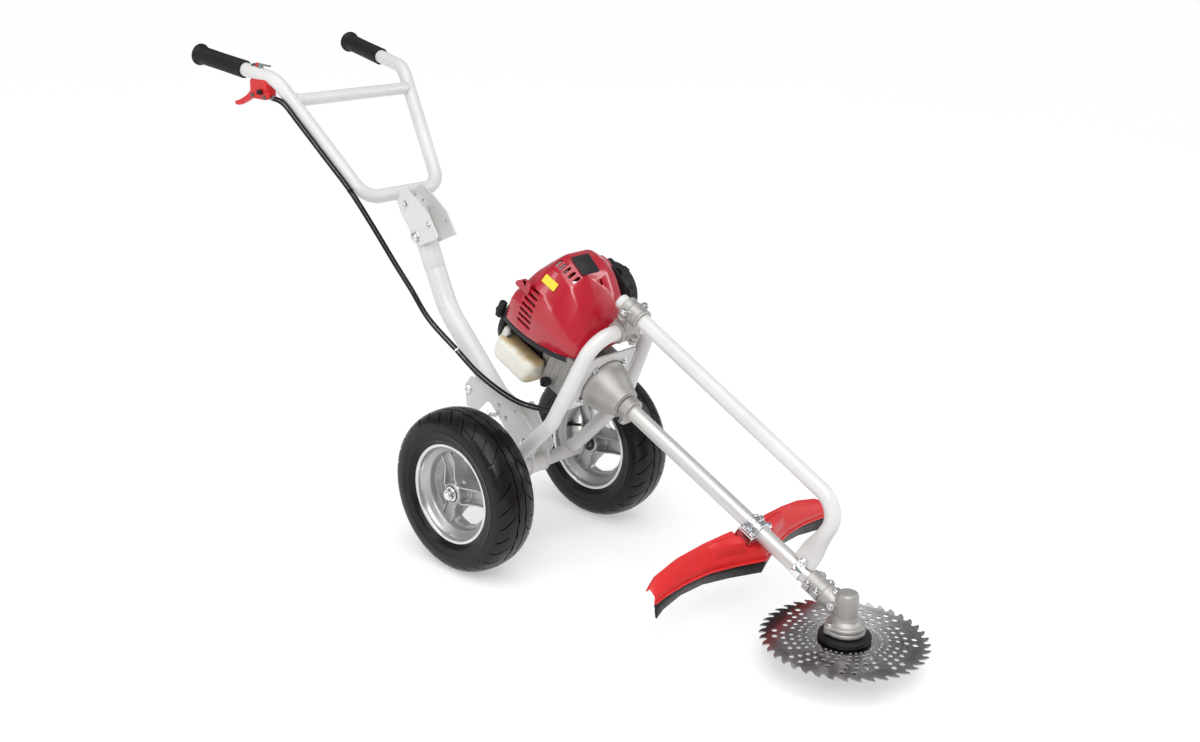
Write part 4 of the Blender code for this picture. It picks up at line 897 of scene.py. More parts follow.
def support_tube():
    """The white tube from the crest to the gear head, pressed flat at its foot, with a plug on top."""
    rear, corner, foot = [Vector((0, *p)) for p in ((-0.1914, 0.475), (-0.6333, 0.2512), (-0.5734, 0.1464))]
    path = rounded([rear, corner, foot], [0, 0.042, 0], 18)
    start = path[-2]
    path = path[:-1] + [start.lerp(foot, k / 16) for k in range(1, 17)]
    last = len(path) - 1

    def press(i):
        share = max(0.0, min(1.0, (i - (last - 15)) / 11))
        share = share * share * (3 - 2 * share)
        return 1 - 0.6 * share, 1 + 0.56 * share
    make("support_tube", sweep(path, 0.0125, 40, press), WHITE, replaces=["top_tube"], slot="white_paint")
    along = (corner - rear).normalized()
    plug = lathe([(0, -0.0002), (0.0108, -0.0002), (0.0122, 0.0004), (0.0124, 0.0012), (0, 0.0012)], 36)
    make("support_tube_cap", plug, WHITE, at=MACHINE @ aim(rear, along), slot="white_paint")


def crest_clamp():
    """The cast clamp where the support tube crosses the hoop, with its four bolts."""
    rear, corner = Vector((0, -0.1914, 0.475)), Vector((0, -0.6333, 0.2512))
    run = (rear - corner).normalized()
    crest = MACHINE.inverted() @ ENGINE @ Vector((0, -0.001, 0.109))
    local = Matrix.Translation(crest) @ Matrix.Rotation(math.atan2(run.z, run.y), 4, "X")
    height = (local.inverted() @ rear).z
    at = MACHINE @ local
    shell = 0.0172
    end = (local.inverted() @ rear).y - 0.0142
    above = (0, 0, height)

    def collar(radius, low, high, axis, centre=(0, 0, 0)):
        return lathe([(0, low), (radius, low), (radius, high), (0, high)], 40, centre, axis)
    ribs = [collar(0.0182, -0.0235, -0.02, "Y", above), collar(0.018, -0.003, 0.0, "Y", above),
            collar(0.0182, end - 0.0035, end, "Y", above), collar(0.018, -0.0195, -0.0165, "X"),
            collar(0.018, 0.0165, 0.0195, "X")]
    shapes = [rod(shell, -0.0195, 0.0195, steps=40, axis="X"),
              rod(shell, -0.0235, end, steps=40, axis="Y", centre=(0, 0, height)),
              block((-0.012, -0.012, 0.006), (0.012, 0.012, height - 0.006), 0.005, "Z"),
              block((-0.03, -0.007, height - 0.007), (0.03, 0.007, height - 0.0009), 0.005, "Z"),
              block((-0.03, -0.007, height + 0.0009), (0.03, 0.007, height + 0.007), 0.005, "Z"),
              block((-0.007, -0.0285, -0.0062), (0.007, 0.023, -0.0009), 0.004, "Z"),
              block((-0.007, -0.0285, 0.0009), (0.007, 0.023, 0.0062), 0.004, "Z"), *ribs]
    casting("crest_clamp", shapes, CAST, 0.0008, 2, at=at, replaces=["cross_clamp"], slot="cast_aluminium",
            cuts=[rod(0.01255, -0.05, 0.05, axis="X"), rod(0.01255, -0.05, 0.05, axis="Y",
                                                           centre=(0, 0, height))])
    bolts = [moved(hex_bolt(0.005, 0.003, 1.25), aim((side * 0.0245, 0, height + 0.0066), (0, 0, 1), 0.4))
             for side in (-1, 1)]
    bolts += [moved(hex_bolt(0.0048, 0.0034, 1.25), aim((0, y, -0.006), (0, 0, -1), 0.2))
              for y in (-0.0235, 0.019)]
    make("crest_clamp_bolts", merged(*bolts), ZINC, at=at, slot="zinc")


def mounting_plate():
    """The plate between the hoop and the engine."""
    corners = [(-0.056, 0.06), (-0.064, -0.042), (0.064, -0.042), (0.056, 0.06)]
    bolts = [(-0.0345, 0.0355), (0.0345, 0.0355), (0.043, -0.026), (-0.043, -0.026)]
    shape = sheet(outline(corners, 0.004), -0.002, 0.0018, "Y", [circle((0, 0), 0.0455, 64)])
    make("mounting_plate", shape, WHITE, at=ENGINE, replaces=["engine_plate"], slot="white_paint",
         bevel=0.0006)
    heads = [moved(socket_bolt(0.0048, 0.0056), aim((x, -0.0021, h), (0, -1, 0), x * 9)) for x, h in bolts]
    make("mounting_bolts", merged(*heads), ZINC, at=ENGINE, slot="zinc")
    seams = []
    for side in (-1, 1):
        path = [Vector((side * (0.061 + 0.0002 * k), -0.0015, 0.05 - 0.008 * k)) for k in range(11)]
        ripple = [1 + 0.2 * math.sin(k * 2.1) for k in range(41)]
        seams.append(sweep(smooth(path, 4), 0.0021, 12, lambda i, r=ripple: (r[i], r[i])))
    make("plate_welds", merged(*seams), WHITE, at=ENGINE, slot="white_paint")


# ---------------------------------------------------------------- drive line

def clutch_and_tube():
    """The clutch housing and the drive tube that it holds."""
    bell = [(0.0452, -0.0026), (0.0458, -0.004), (0.0458, -0.0075), (0.044, -0.0092), (0.0425, -0.018),
            (0.038, -0.032), (0.0315, -0.047), (0.0272, -0.057), (0.0262, -0.0605), (0.0215, -0.0608),
            (0.0212, -0.0622)]
    cavity = [(0.0133, -0.0622), (0.0105, -0.056), (0.0105, -0.05), (0.0345, -0.038), (0.04, -0.0026)]
    make("clutch_bell", lathe(bell + cavity, 96, axis="Y"), CAST, at=ENGINE, replaces=["clutch_housing"],
         slot="cast_aluminium", bevel=0.0007)
    ring = lathe([(0.0133, -0.08), (0.0196, -0.08), (0.0204, -0.0792), (0.0204, -0.0642), (0.0196, -0.0632),
                  (0.0133, -0.0632)], 64, axis="Y")
    lug = block((-0.0085, -0.0785, -0.0285), (0.0085, -0.0655, -0.015), 0.003, "X")
    casting("tube_collar", [ring, lug], CAST, 0.0007, 2, at=ENGINE, slot="cast_aluminium",
            cuts=[rod(0.01305, -0.1, 0.0, axis="Y"), sheet([(-0.083, -0.03), (-0.063, -0.03),
                                                            (-0.063, -0.0125), (-0.083, -0.0125)], -0.0008,
                                                           0.0008, "X")])
    make("tube_collar_bolt", merged(moved(hex_bolt(0.0046, 0.0034, 1.2),
                                          aim((-0.0085, -0.072, -0.0225), (-1, 0, 0))),
                                    moved(hex_bolt(0.0046, 0.003, 1.2, 0.002), aim((0.0085, -0.072,
                                                                                    -0.0225), (1, 0, 0)))),
         ZINC, at=ENGINE, slot="zinc")
    head_s = (HEAD.y - ENGINE_FACE_Y) / math.cos(DRIVE_ANGLE)
    low, high = head_s + 0.056, -0.059
    tube = [(0.0115, low), (0.0127, low), (0.013, low + 0.0003), (0.013, high), (0.0115, high)]
    make("drive_tube_skin", lathe(tube, 56, axis="Y"), BRUSHED, at=ENGINE, replaces=["drive_tube"],
         slot="brushed_tube")


def tie_band():
    """The steel band that ties the support tube's fin to the drive tube, with its cross bolt."""
    s = -0.459
    strap = [(0.0133, -0.008), (0.0144, -0.008), (0.0146, -0.0076), (0.0146, 0.0076), (0.0144, 0.008),
             (0.0133, 0.008)]
    ring = lathe(strap, 56, (0, s, 0), "Y")
    ears = []
    for side in (-1, 1):
        shape = [(s - 0.007, 0.011), (s + 0.007, 0.011), (s + 0.007, 0.0225), (s + 0.0035, 0.0278),
                 (s - 0.0035, 0.0278), (s - 0.007, 0.0225)]
        ears.append(sheet(outline(shape, 0.0015), *sorted((side * 0.0058, side * 0.0082)), "X"))
    make("tie_band", merged(ring, *ears), ZINC, at=ENGINE, replaces=["foot_band"], slot="zinc",
         bevel=0.0003)
    make("tie_band_bolt", merged(moved(hex_bolt(0.0052, 0.0038, 1.25),
                                       aim((-0.0083, s, 0.0215), (-1, 0, 0), 0.3)),
                                 moved(hex_bolt(0.0052, 0.0042, 1.25, 0.0035), aim((0.0083, s, 0.0215),
                                                                                   (1, 0, 0), 0.7))), ZINC,
         at=ENGINE, slot="zinc")


def head_casting():
    """The gear head: a barrel, a grease plug, a split neck with two bolts and a flange."""
    centre = (0, HEAD.y, 0)
    tilt = Matrix.Translation(HEAD) @ Matrix.Rotation(DRIVE_ANGLE, 4, "X")
    body = lathe([(0, 0.1268), (0.0115, 0.1266), (0.015, 0.1252), (0.0166, 0.1225), (0.0171, 0.118),
                  (0.0172, 0.088), (0.019, 0.0825), (0.024, 0.0785), (0.0295, 0.0765), (0.0305, 0.0745),
                  (0.0305, 0.0715), (0.029, 0.0705), (0.029, 0.0685), (0.0305, 0.0675), (0.0305, 0.0625),
                  (0, 0.0625)], 64, centre)
    neck = moved(lathe([(0, 0.0), (0.0145, 0.0), (0.0148, 0.025), (0.016, 0.033), (0.0178, 0.04),
                        (0.0178, 0.043), (0.017, 0.044), (0.017, 0.0575), (0.0178, 0.059), (0.0178, 0.076),
                        (0, 0.076)], 48, axis="Y"), tilt)
    lugs = []
    for low in (0.0445, 0.0625):
        lugs.append(moved(block((-0.0222, low, -0.0065), (0.0222, low + 0.012, 0.0065), 0.003, "Y"), tilt))
    keel = moved(block((-0.004, 0.012, -0.021), (0.004, 0.056, -0.01), 0.003, "X"), tilt)
    boss = moved(rod(0.007, 0.012, 0.0185, steps=32, axis="Z"), tilt @ Matrix.Translation((0, 0.03, 0)))
    cheek = moved(rod(0.0065, -0.019, 0.019, steps=32, axis="X"), tilt @ Matrix.Translation((0, 0.02,
                                                                                             0.003)))
    ledge = rod(0.0085, 0.064, 0.076, steps=28, centre=(-0.0235, HEAD.y + 0.012, 0))
    far = rod(0.0085, 0.064, 0.076, steps=28, centre=(0.0235, HEAD.y + 0.012, 0))
    cuts = [moved(rod(0.01305, 0.056, 0.09, axis="Y"), tilt), moved(sheet([(0.042, -0.03), (0.08, -0.03),
                                                                           (0.08, -0.012), (0.042, -0.012)],
                                                                          -0.0009, 0.0009, "X"), tilt)]
    casting("head_casting", [body, neck, *lugs, keel, boss, cheek, ledge, far], CAST, 0.0008, 3, cuts=cuts,
            replaces=["gear_case"], slot="cast_aluminium")
    bolts = []
    for low in (0.0505, 0.0685):
        for side in (-1, 1):
            bolts.append(moved(socket_bolt(0.004, 0.004), tilt @ aim((side * 0.019, low, 0.0066), (0, 0, 1),
                                                                     low * 40)))
    bolts.append(moved(hex_bolt(0.0062, 0.0034, 1.15), tilt @ aim((0, 0.03, 0.018), (0, 0, 1), 0.3)))
    bolts.append(moved(socket_bolt(0.0034, 0.003), tilt @ aim((-0.0188, 0.02, 0.003), (-1, 0, 0))))
    bolts.append(moved(socket_bolt(0.0034, 0.003), tilt @ aim((0.0188, 0.02, 0.003), (1, 0, 0))))
    for x in (-0.0235, 0.0235):
        bolts.append(moved(hex_bolt(0.0044, 0.003, 1.2), aim((x, HEAD.y + 0.012, 0.0757), (0, 0, 1),
                                                             x * 30)))
    make("head_bolts", merged(*bolts), ZINC, slot="zinc")


BLADE_TEETH = 40
HEAD_GEAR_TEETH = 20
SHAFT_GEAR_TEETH = 14


def saw_blade():
    """A 40-tooth blade with raked teeth, hard tips and eight fans of holes that widen outwards."""
    low, top, reach = 0.049, 0.0508, 0.1275
    teeth, tips = [], []
    for i in range(BLADE_TEETH):
        base = 2 * math.pi * i / BLADE_TEETH + math.pi / 2
        for share, radius in ((0.0, 0.1178), (0.05, 0.1166), (0.15, 0.116), (0.27, 0.1172), (0.4, 0.1206),
                              (0.62, 0.124), (0.86, 0.1264), (0.985, reach - 0.0004), (0.995, 0.1235)):
            turn = base + 2 * math.pi * share / BLADE_TEETH
            teeth.append((radius * math.cos(turn), radius * math.sin(turn)))
        corners = []
        for share, radius in ((1.015, reach - 0.0002), (0.88, 0.1267), (0.89, 0.1228), (1.005, 0.1224)):
            turn = base + 2 * math.pi * share / BLADE_TEETH
            corners.append((radius * math.cos(turn), radius * math.sin(turn)))
        tips.append(sheet(corners, low - 0.0003, top + 0.0003, "Z"))
    holes = [circle((0, 0), 0.01, 40)]
    for fan in range(8):
        for row, (radius, size) in enumerate(((0.048, 0.0021), (0.057, 0.0027), (0.0675, 0.0032),
                                              (0.079, 0.0037), (0.0915, 0.004), (0.104, 0.0044))):
            for k in range(4 if row < 5 else 2):
                turn = 2 * math.pi * fan / 8 + math.radians(k * 9.8 - row * 2.6)
                holes.append(circle((radius * math.cos(turn), radius * math.sin(turn)), size, 16))
    make("saw_blade", sheet(teeth, low, top, "Z", holes), SAW, "blade_spindle", SPINDLE, replaces=["blade"],
         slot="steel", angle=30)
    make("blade_tips", merged(*tips), SAW, "blade_spindle", SPINDLE, slot="steel", angle=20)
    holder = [(0.0062, top + 0.0002), (0.0385, top + 0.0002), (0.0398, top + 0.0012), (0.04, top + 0.0026),
              (0.0388, top + 0.0034), (0.0388, top + 0.0044), (0.04, top + 0.0052), (0.0396, top + 0.0066),
              (0.037, top + 0.0078), (0.0335, top + 0.0091), (0.0062, top + 0.0091)]
    make("upper_holder", lathe(holder, 96), BLACK, "blade_spindle", SPINDLE, replaces=["blade_holder"],
         slot="black_plastic")
    nut = [(0.0052, 0.0392), (0.0094, 0.0392), (0.0102, 0.0402, 6, 0.01), (0.0102, 0.0446, 6, 0.01),
           (0.0182, 0.045), (0.019, 0.0458), (0.019, 0.048), (0.0182, 0.0487), (0.0052, 0.0487)]
    make("flange_nut", lathe(nut, 48), ZINC, "blade_spindle", SPINDLE, replaces=["blade_nut"], slot="zinc")
    shaft = [(0, 0.01), (0.0042, 0.01), (0.0048, 0.0106)]
    for k in range(20):
        shaft += [(0.0048, 0.011 + 0.0014 * k), (0.0044, 0.0117 + 0.0014 * k)]
    shaft += [(0.005, 0.04), (0.006, 0.0603), (0.006, 0.085), (0.004, 0.0852), (0.004, 0.0995), (0, 0.0995)]
    make("spindle_shaft", lathe(shaft, 28), STEEL, "blade_spindle", SPINDLE, slot="steel",
         replaces=["spindle"])
    make("spindle_gear", gear_shape(HEAD_GEAR_TEETH, 0.01, 0.0069, 0.1043, 0.1004), STEEL, "blade_spindle",
         SPINDLE, slot="steel")
    cup = [(0, 0), (0.027, 0), (0.0315, 0.0012), (0.035, 0.0042), (0.038, 0.0095), (0.0394, 0.016),
           (0.04, 0.024), (0.04, 0.0388), (0.0394, 0.0395), (0.0371, 0.0395), (0.0365, 0.0388),
           (0.0362, 0.024), (0.035, 0.014), (0.032, 0.008), (0.027, 0.006), (0.013, 0.006), (0.011, 0.008),
           (0.0105, 0.0352), (0.0098, 0.036), (0.0051, 0.036), (0.0051, 0.008), (0, 0.008)]
    make("sliding_cup", lathe(cup, 72), BLACK, "glide_cup", SPINDLE, replaces=["glide_cup"],
         slot="black_plastic", angle=50)


def gear_shape(teeth, large, small, back, front):
    """A toothed cone along Z that narrows from back to front."""
    rings = []
    for radius, along in ((large, back), (small, front)):
        for i in range(teeth):
            for share, depth in ((0.0, 0.0), (0.22, 0.0), (0.4, 0.16), (0.82, 0.16)):
                turn = 2 * math.pi * (i + share) / teeth
                rings.append(Vector((radius * (1 - depth) * math.cos(turn),
                                     radius * (1 - depth) * math.sin(turn), along)))
    count = len(rings) // 2
    faces = [(i, (i + 1) % count, (i + 1) % count + count, i + count) for i in range(count)]
    return rings, faces + [tuple(range(count)), tuple(range(count, 2 * count))]


def inner_drive():
    """The shaft, pinion and clutch drum, which show only through openings."""
    head_s = (HEAD.y - ENGINE_FACE_Y) / math.cos(DRIVE_ANGLE)
    make("shaft_bar", rod(0.004, head_s + 0.014, -0.036, axis="Y"), STEEL, "drive_shaft", ENGINE,
         replaces=["drive_shaft"], slot="steel")
    tilt = ENGINE @ Matrix.Rotation(-math.pi / 2, 4, "X")
    make("shaft_pinion", gear_shape(SHAFT_GEAR_TEETH, 0.0069, 0.0047, head_s + 0.0148, head_s + 0.0103),
         STEEL, "drive_shaft", tilt, slot="steel")
    dress(DARK_STEEL, "clutch_drum", "crankshaft")
    dress(CAST, "flywheel", "cylinder", "piston")


# ---------------------------------------------------------------- guard

GUARD_SHAPE = [
    (0.0, -0.458, 0.172, -0.501, 0.124, -0.495, 0.103), (0.05, -0.456, 0.173, -0.483, 0.1255, -0.474, 0.104),
    (0.1, -0.451, 0.17, -0.471, 0.127, -0.459, 0.105), (0.15, -0.446, 0.163, -0.467, 0.126, -0.457, 0.104),
    (0.2, -0.446, 0.151, -0.467, 0.122, -0.465, 0.101), (0.222, -0.452, 0.14, -0.469, 0.119, -0.473, 0.098),
]


def guard_at(x):
    """(rear y, rear z, lower y, lower z, skirt foot y, skirt foot z) at this distance from the middle."""
    reach = abs(x)
    for low, high in zip(GUARD_SHAPE, GUARD_SHAPE[1:]):
        if reach <= high[0]:
            share = (reach - low[0]) / (high[0] - low[0])
            return [a + (b - a) * share for a, b in zip(low, high)][1:]
    return list(GUARD_SHAPE[-1][1:])


def guard_row(x):
    rear, top, front, low = guard_at(x)[:4]
    row = [(rear, top - 0.006), (rear - 0.006, top), (front + 0.006, (top + low) / 2 + 0.008),
           (front - 0.001, low + 0.012), (front, low)]
    rise = 1.4 * max(0.0, abs(x) - 0.027)
    return [(y, min(z, tube_height(y) - 0.0212 + rise)) for y, z in row[:3]] + row[3:]


def skin(name, rows, thickness, material, at=MACHINE, bevel=0.0009, **more):
    """A sheet of even thickness through rows of points, with its edges eased."""
    width = len(rows[0])
    faces = []
    for i in range(len(rows) - 1):
        for k in range(width - 1):
            a = i * width + k
            faces.append((a, a + 1, a + 1 + width, a + width))
    obj = make(name, ([p for row in rows for p in row], faces), material, at=at, **more)
    wall = obj.modifiers.new("Wall", "SOLIDIFY")
    wall.thickness = thickness
    wall.offset = 0.0
    ease(obj, bevel, angle=34)
    settle(obj, 24)
    return obj


def guard():
    """The red guard, the rubber apron under it and its end panels."""
    marks = [0.0, 0.025, 0.037, 0.052, 0.075, 0.1, 0.125, 0.15, 0.175, 0.198, 0.212, 0.222]
    stations = [-x for x in reversed(marks[1:])] + marks
    skin("guard_shell", [[Vector((x, y, z)) for y, z in guard_row(x)] for x in stations], 0.003, SCARLET,
         replaces=["guard"], slot="red_guard", bevel=0.0011)
    rows = []
    for x in stations:
        front, low, foot, ground = guard_at(x)[2:]
        start = Vector((x, front, low - 0.0006))
        end = Vector((x, foot, ground))
        rows.append([start, start.lerp(end, 0.25) + Vector((0, -0.0008, 0)), start.lerp(end, 0.5), end])
    skin("guard_apron", rows, 0.003, SKIRT, replaces=["guard_skirt"], slot="black_plastic", bevel=0.0007)
    rail = []
    for x in [k * 0.0111 for k in range(-20, 21)]:
        front, low = guard_at(x)[2:4]
        rail.append(Vector((x, front - 0.002, low + 0.0025)))
    make("guard_bead", sweep(rail, 0.0021, 12), SCARLET, slot="red_guard")
    for side, word in ((-1, "right"), (1, "left")):
        panel = []
        for x in (0.092, 0.08, 0.055, 0.033):
            row = [Vector((side * x, y, z)) for y, z in guard_row(side * x)]
            raised = [row[1].lerp(row[2], 0.25), row[1].lerp(row[2], 0.45), row[2],
                      row[2].lerp(row[3], 0.7)]
            lift = 0.0 if x > 0.09 else 0.0055
            panel.append([p + Vector((0, -0.6, 0.8)) * (lift if k in (1, 2) else -0.001) for k,
                          p in enumerate(raised)])
        skin(f"guard_panel_{word}", panel, 0.003, SCARLET, slot="red_guard", bevel=0.001)


def guard_clamp():
    """The two-part clamp that carries the guard: a ribbed saddle, a strap over the tube and four bolts."""
    s = (-0.48 - ENGINE_FACE_Y) / math.cos(DRIVE_ANGLE)
    wings = [block((-0.026, s - 0.015, -0.0163), (0.026, s + 0.015, -0.0008), 0.003, "Y")]
    casting("guard_saddle_body", wings, ZINC, 0.0007, 2, at=ENGINE, replaces=["guard_saddle"], slot="zinc",
            cuts=[rod(0.01305, s - 0.05, s + 0.05, axis="Y"), *[block((side * 0.0215 - 0.0022, s - 0.006,
                                                                       -0.02), (side * 0.0215 + 0.0022,
                                                                                s + 0.006, -0.0105), 0.001,
                                                                      "Z") for side in (-1, 1)]])
    arch = [(0.026, 0.0003), (0.026, 0.003)] + arc((0, 0), 0.0162, 11, 169, 28)
    arch += [(-0.026, 0.003), (-0.026, 0.0003)] + arc((0, 0), 0.0133, 178, 2, 30)
    strap = sheet(arch, s - 0.013, s + 0.013, "Y")
    ribs = []
    for along in (-0.011, 0.0, 0.011):
        hoop = arc((0, 0), 0.0176, 14, 166, 26) + arc((0, 0), 0.015, 166, 14, 26)
        ribs.append(sheet(hoop, s + along - 0.0014, s + along + 0.0014, "Y"))
    casting("guard_strap_body", [strap, *ribs], ZINC, 0.0006, 2, at=ENGINE, replaces=["guard_strap"],
            slot="zinc")
    bolts = []
    for x in (-0.0212, 0.0212):
        for along in (-0.008, 0.008):
            bolts.append(moved(hex_bolt(0.0044, 0.0036, 1.2), aim((x, s + along, 0.0028), (0, 0, 1),
                                                                  x + along)))
    make("guard_clamp_bolts", merged(*bolts), ZINC, at=ENGINE, slot="zinc")


# ---------------------------------------------------------------- engine

COVER_STATIONS = [(0.016, 0.086, 0.8, 0.056), (0.03, 0.107, 0.9, 0.051), (0.055, 0.138, 0.97, 0.044),
                  (0.085, 0.164, 1.0, 0.037), (0.11, 0.173, 1.0, 0.032), (0.135, 0.17, 1.0, 0.03),
                  (0.158, 0.136, 0.98, 0.029), (0.172, 0.1, 0.93, 0.029), ]
COVER_SECTION = [(-0.085, None), (-0.088, 0.075), (-0.082, 0.11), (-0.06, 0.152), (-0.034, 0.17),
                 (0.018, 0.17), (0.04, 0.158), (0.052, 0.125), (0.055, 0.088)]


def cover_ring(station):
    s, top, width, low = station
    ring = []
    for x, h in COVER_SECTION:
        height = low if h is None else 0.058 + (h - 0.058) * (top - 0.058) / (0.17 - 0.058)
        ring.append(Vector((x * width, s, height)))
    return ring


def cover():
    """The faceted engine cover with its louvres, slots, badge and plate."""
    rings = [cover_ring(station) for station in COVER_STATIONS]
    count = len(COVER_SECTION)
    last = (len(rings) - 1) * count
    total = len(rings) * count
    arch = [Vector((0.06 * math.cos(t), COVER_STATIONS[-1][0], 0.06 * math.sin(t)))
            for t in [math.radians(75 + 25 * k) for k in range(3)]]
    verts = [p for ring in rings for p in ring] + arch
    faces = []
    for i in range(len(rings) - 1):
        for k in range(count - 1):
            a = i * count + k
            faces.append((a, a + 1, a + 1 + count, a + count))
    faces += [tuple(range(count)), (*range(last, last + count), *range(total, total + 3))]
    shell = make("cover_shell", (verts, faces), CRIMSON, at=ENGINE, replaces=["engine_cover"],
                 slot="red_cover", angle=60)
    ease(shell, 0.0052, 4, 12)
    wall = shell.modifiers.new("Wall", "SOLIDIFY")
    wall.thickness = 0.0025
    wall.offset = 0.0
    settle(shell, 50)
    cuts = []
    for k in range(7):
        s = 0.126 + 0.0012 * k
        low = 0.0455 + 0.0104 * k
        half = 0.0165 - 0.0006 * k
        cuts.append(block((-0.1, s - half, low), (-0.06, s + half, low + 0.0052), 0.0024, "X"))
    for k in range(5):
        s = 0.088 + 0.0106 * k
        frame_here = aim((-0.051, s, 0.159), (-0.62, 0, 0.78))
        cuts.append(moved(block((-0.0078, -0.0026, -0.01), (0.0078, 0.0026, 0.01), 0.0022, "Z"),
                          frame_here))
    cuts.append(moved(block((-0.005, -0.0024, -0.01), (0.005, 0.0024, 0.01), 0.0018, "Z"),
                      aim((-0.005, 0.072, 0.155), (0, -0.4, 0.9))))
    cut(shell, cuts, ENGINE)
    ease(shell, 0.0006, angle=50)
    settle(shell, 35)
    backs = []
    for k in range(7):
        s = 0.126 + 0.0012 * k
        low = 0.0445 + 0.0104 * k
        x = -0.082 + max(0.0, low - 0.075) * 0.17
        slat = [(s - 0.018, low), (s - 0.018, low + 0.0072), (s + 0.018, low + 0.0072), (s + 0.018, low)]
        backs.append(sheet(slat, x, x + 0.001, "X"))
    lift = aim((-0.022, 0.102, 0.1715), (0, -0.3, 1.0))
    badge = moved(sheet(outline([(-0.018, -0.02), (0.018, -0.02), (0.018, 0.02), (-0.018, 0.02)], 0.003),
                        -0.001, 0.001, "Z"), lift)
    return badge, backs


def engine_body():
    """Crankcase with cooling fins on the cylinder, and its bolts."""
    shapes = [block((-0.05, 0.0025, -0.048), (0.05, 0.08, 0.038), 0.012, "Y"),
              block((-0.044, 0.0045, -0.05), (0.044, 0.078, -0.044), 0.006, "Y")]
    for s in (0.015, 0.03, 0.045, 0.06):
        shapes.append(block((-0.052, s, -0.038), (0.052, s + 0.003, 0.03), 0.008, "Y"))
    shapes.append(rod(0.048, 0.0025, 0.01, steps=64, axis="Y"))
    shapes.append(rod(0.011, -0.0505, -0.044, steps=32, axis="X", centre=(0, 0.062, -0.034)))
    casting("crankcase_shell", shapes, CAST, 0.0012, 3, at=ENGINE, replaces=["crankcase"],
            slot="cast_aluminium")
    heads = []
    for x, h in ((-0.04, 0.028), (0.04, 0.028), (-0.04, -0.038), (0.04, -0.038)):
        heads.append(moved(socket_bolt(0.004, 0.004), aim((x, 0.0035, h), (0, -1, 0))))
    for s, h in ((0.024, 0.022), (0.024, -0.026), (0.07, 0.022)):
        heads.append(moved(hex_bolt(0.0046, 0.0034, 1.2), aim((-0.0515, s, h), (-1, 0, 0), s * 30)))
        heads.append(moved(hex_bolt(0.0046, 0.0034, 1.2), aim((0.0515, s, h), (1, 0, 0), s * 30)))
    make("crankcase_bolts", merged(*heads), ZINC, at=ENGINE, slot="zinc")


def cover_parts():
    """What the cover carries: its badge plate, yellow plate, louvre backs and the black band below it."""
    badge, backs = cover()
    make("badge_plate", badge, TRIM, at=ENGINE, bevel=0.0006)
    make("louvre_backs", merged(*backs), CRIMSON, at=ENGINE, slot="red_cover")
    lift = aim((-0.0722, 0.117, 0.1345), (-0.88, 0.03, 0.47))
    corners = [(-0.007, -0.015), (0.007, -0.015), (0.007, 0.015), (-0.007, 0.015)]
    along = lift.to_3x3().inverted() @ Vector((0, 1, 0))
    spin = lift @ Matrix.Rotation(math.atan2(along.y, along.x) - math.pi / 2, 4, "Z")
    make("yellow_plate", moved(sheet(outline(corners, 0.0015), -0.0004, 0.0008, "Z"), spin), YELLOW,
         at=ENGINE)
    rows = []
    for s, _, width, low in COVER_STATIONS[1:]:
        x = -0.085 * width
        rows.append([Vector((x + 0.001, s, low - 0.0022)), Vector((x + 0.0015, s, low - 0.009)),
                     Vector((x + 0.0065, s, low - 0.0135))])
    skin("lower_trim", rows, 0.0024, TRIM, at=ENGINE, bevel=0.0006, slot="black_plastic")
    lobe = lathe([(0, -0.004), (0.0125, -0.004), (0.015, -0.003), (0.015, 0.012), (0.0135, 0.015),
                  (0.009, 0.0165), (0, 0.0168)], 48)
    make("cover_lobe", moved(lobe, aim((0.043, 0.118, 0.14), (0.75, 0.0, 0.66))), CRIMSON, at=ENGINE,
         slot="red_cover", angle=50)
    fin = [(0.138, 0.096), (0.17, 0.096), (0.17, 0.103), (0.16, 0.113), (0.14, 0.118)]
    make("cover_fin", sheet(outline(fin, 0.003), -0.0875, -0.08, "X"), CRIMSON, at=ENGINE, bevel=0.0012,
         slot="red_cover")


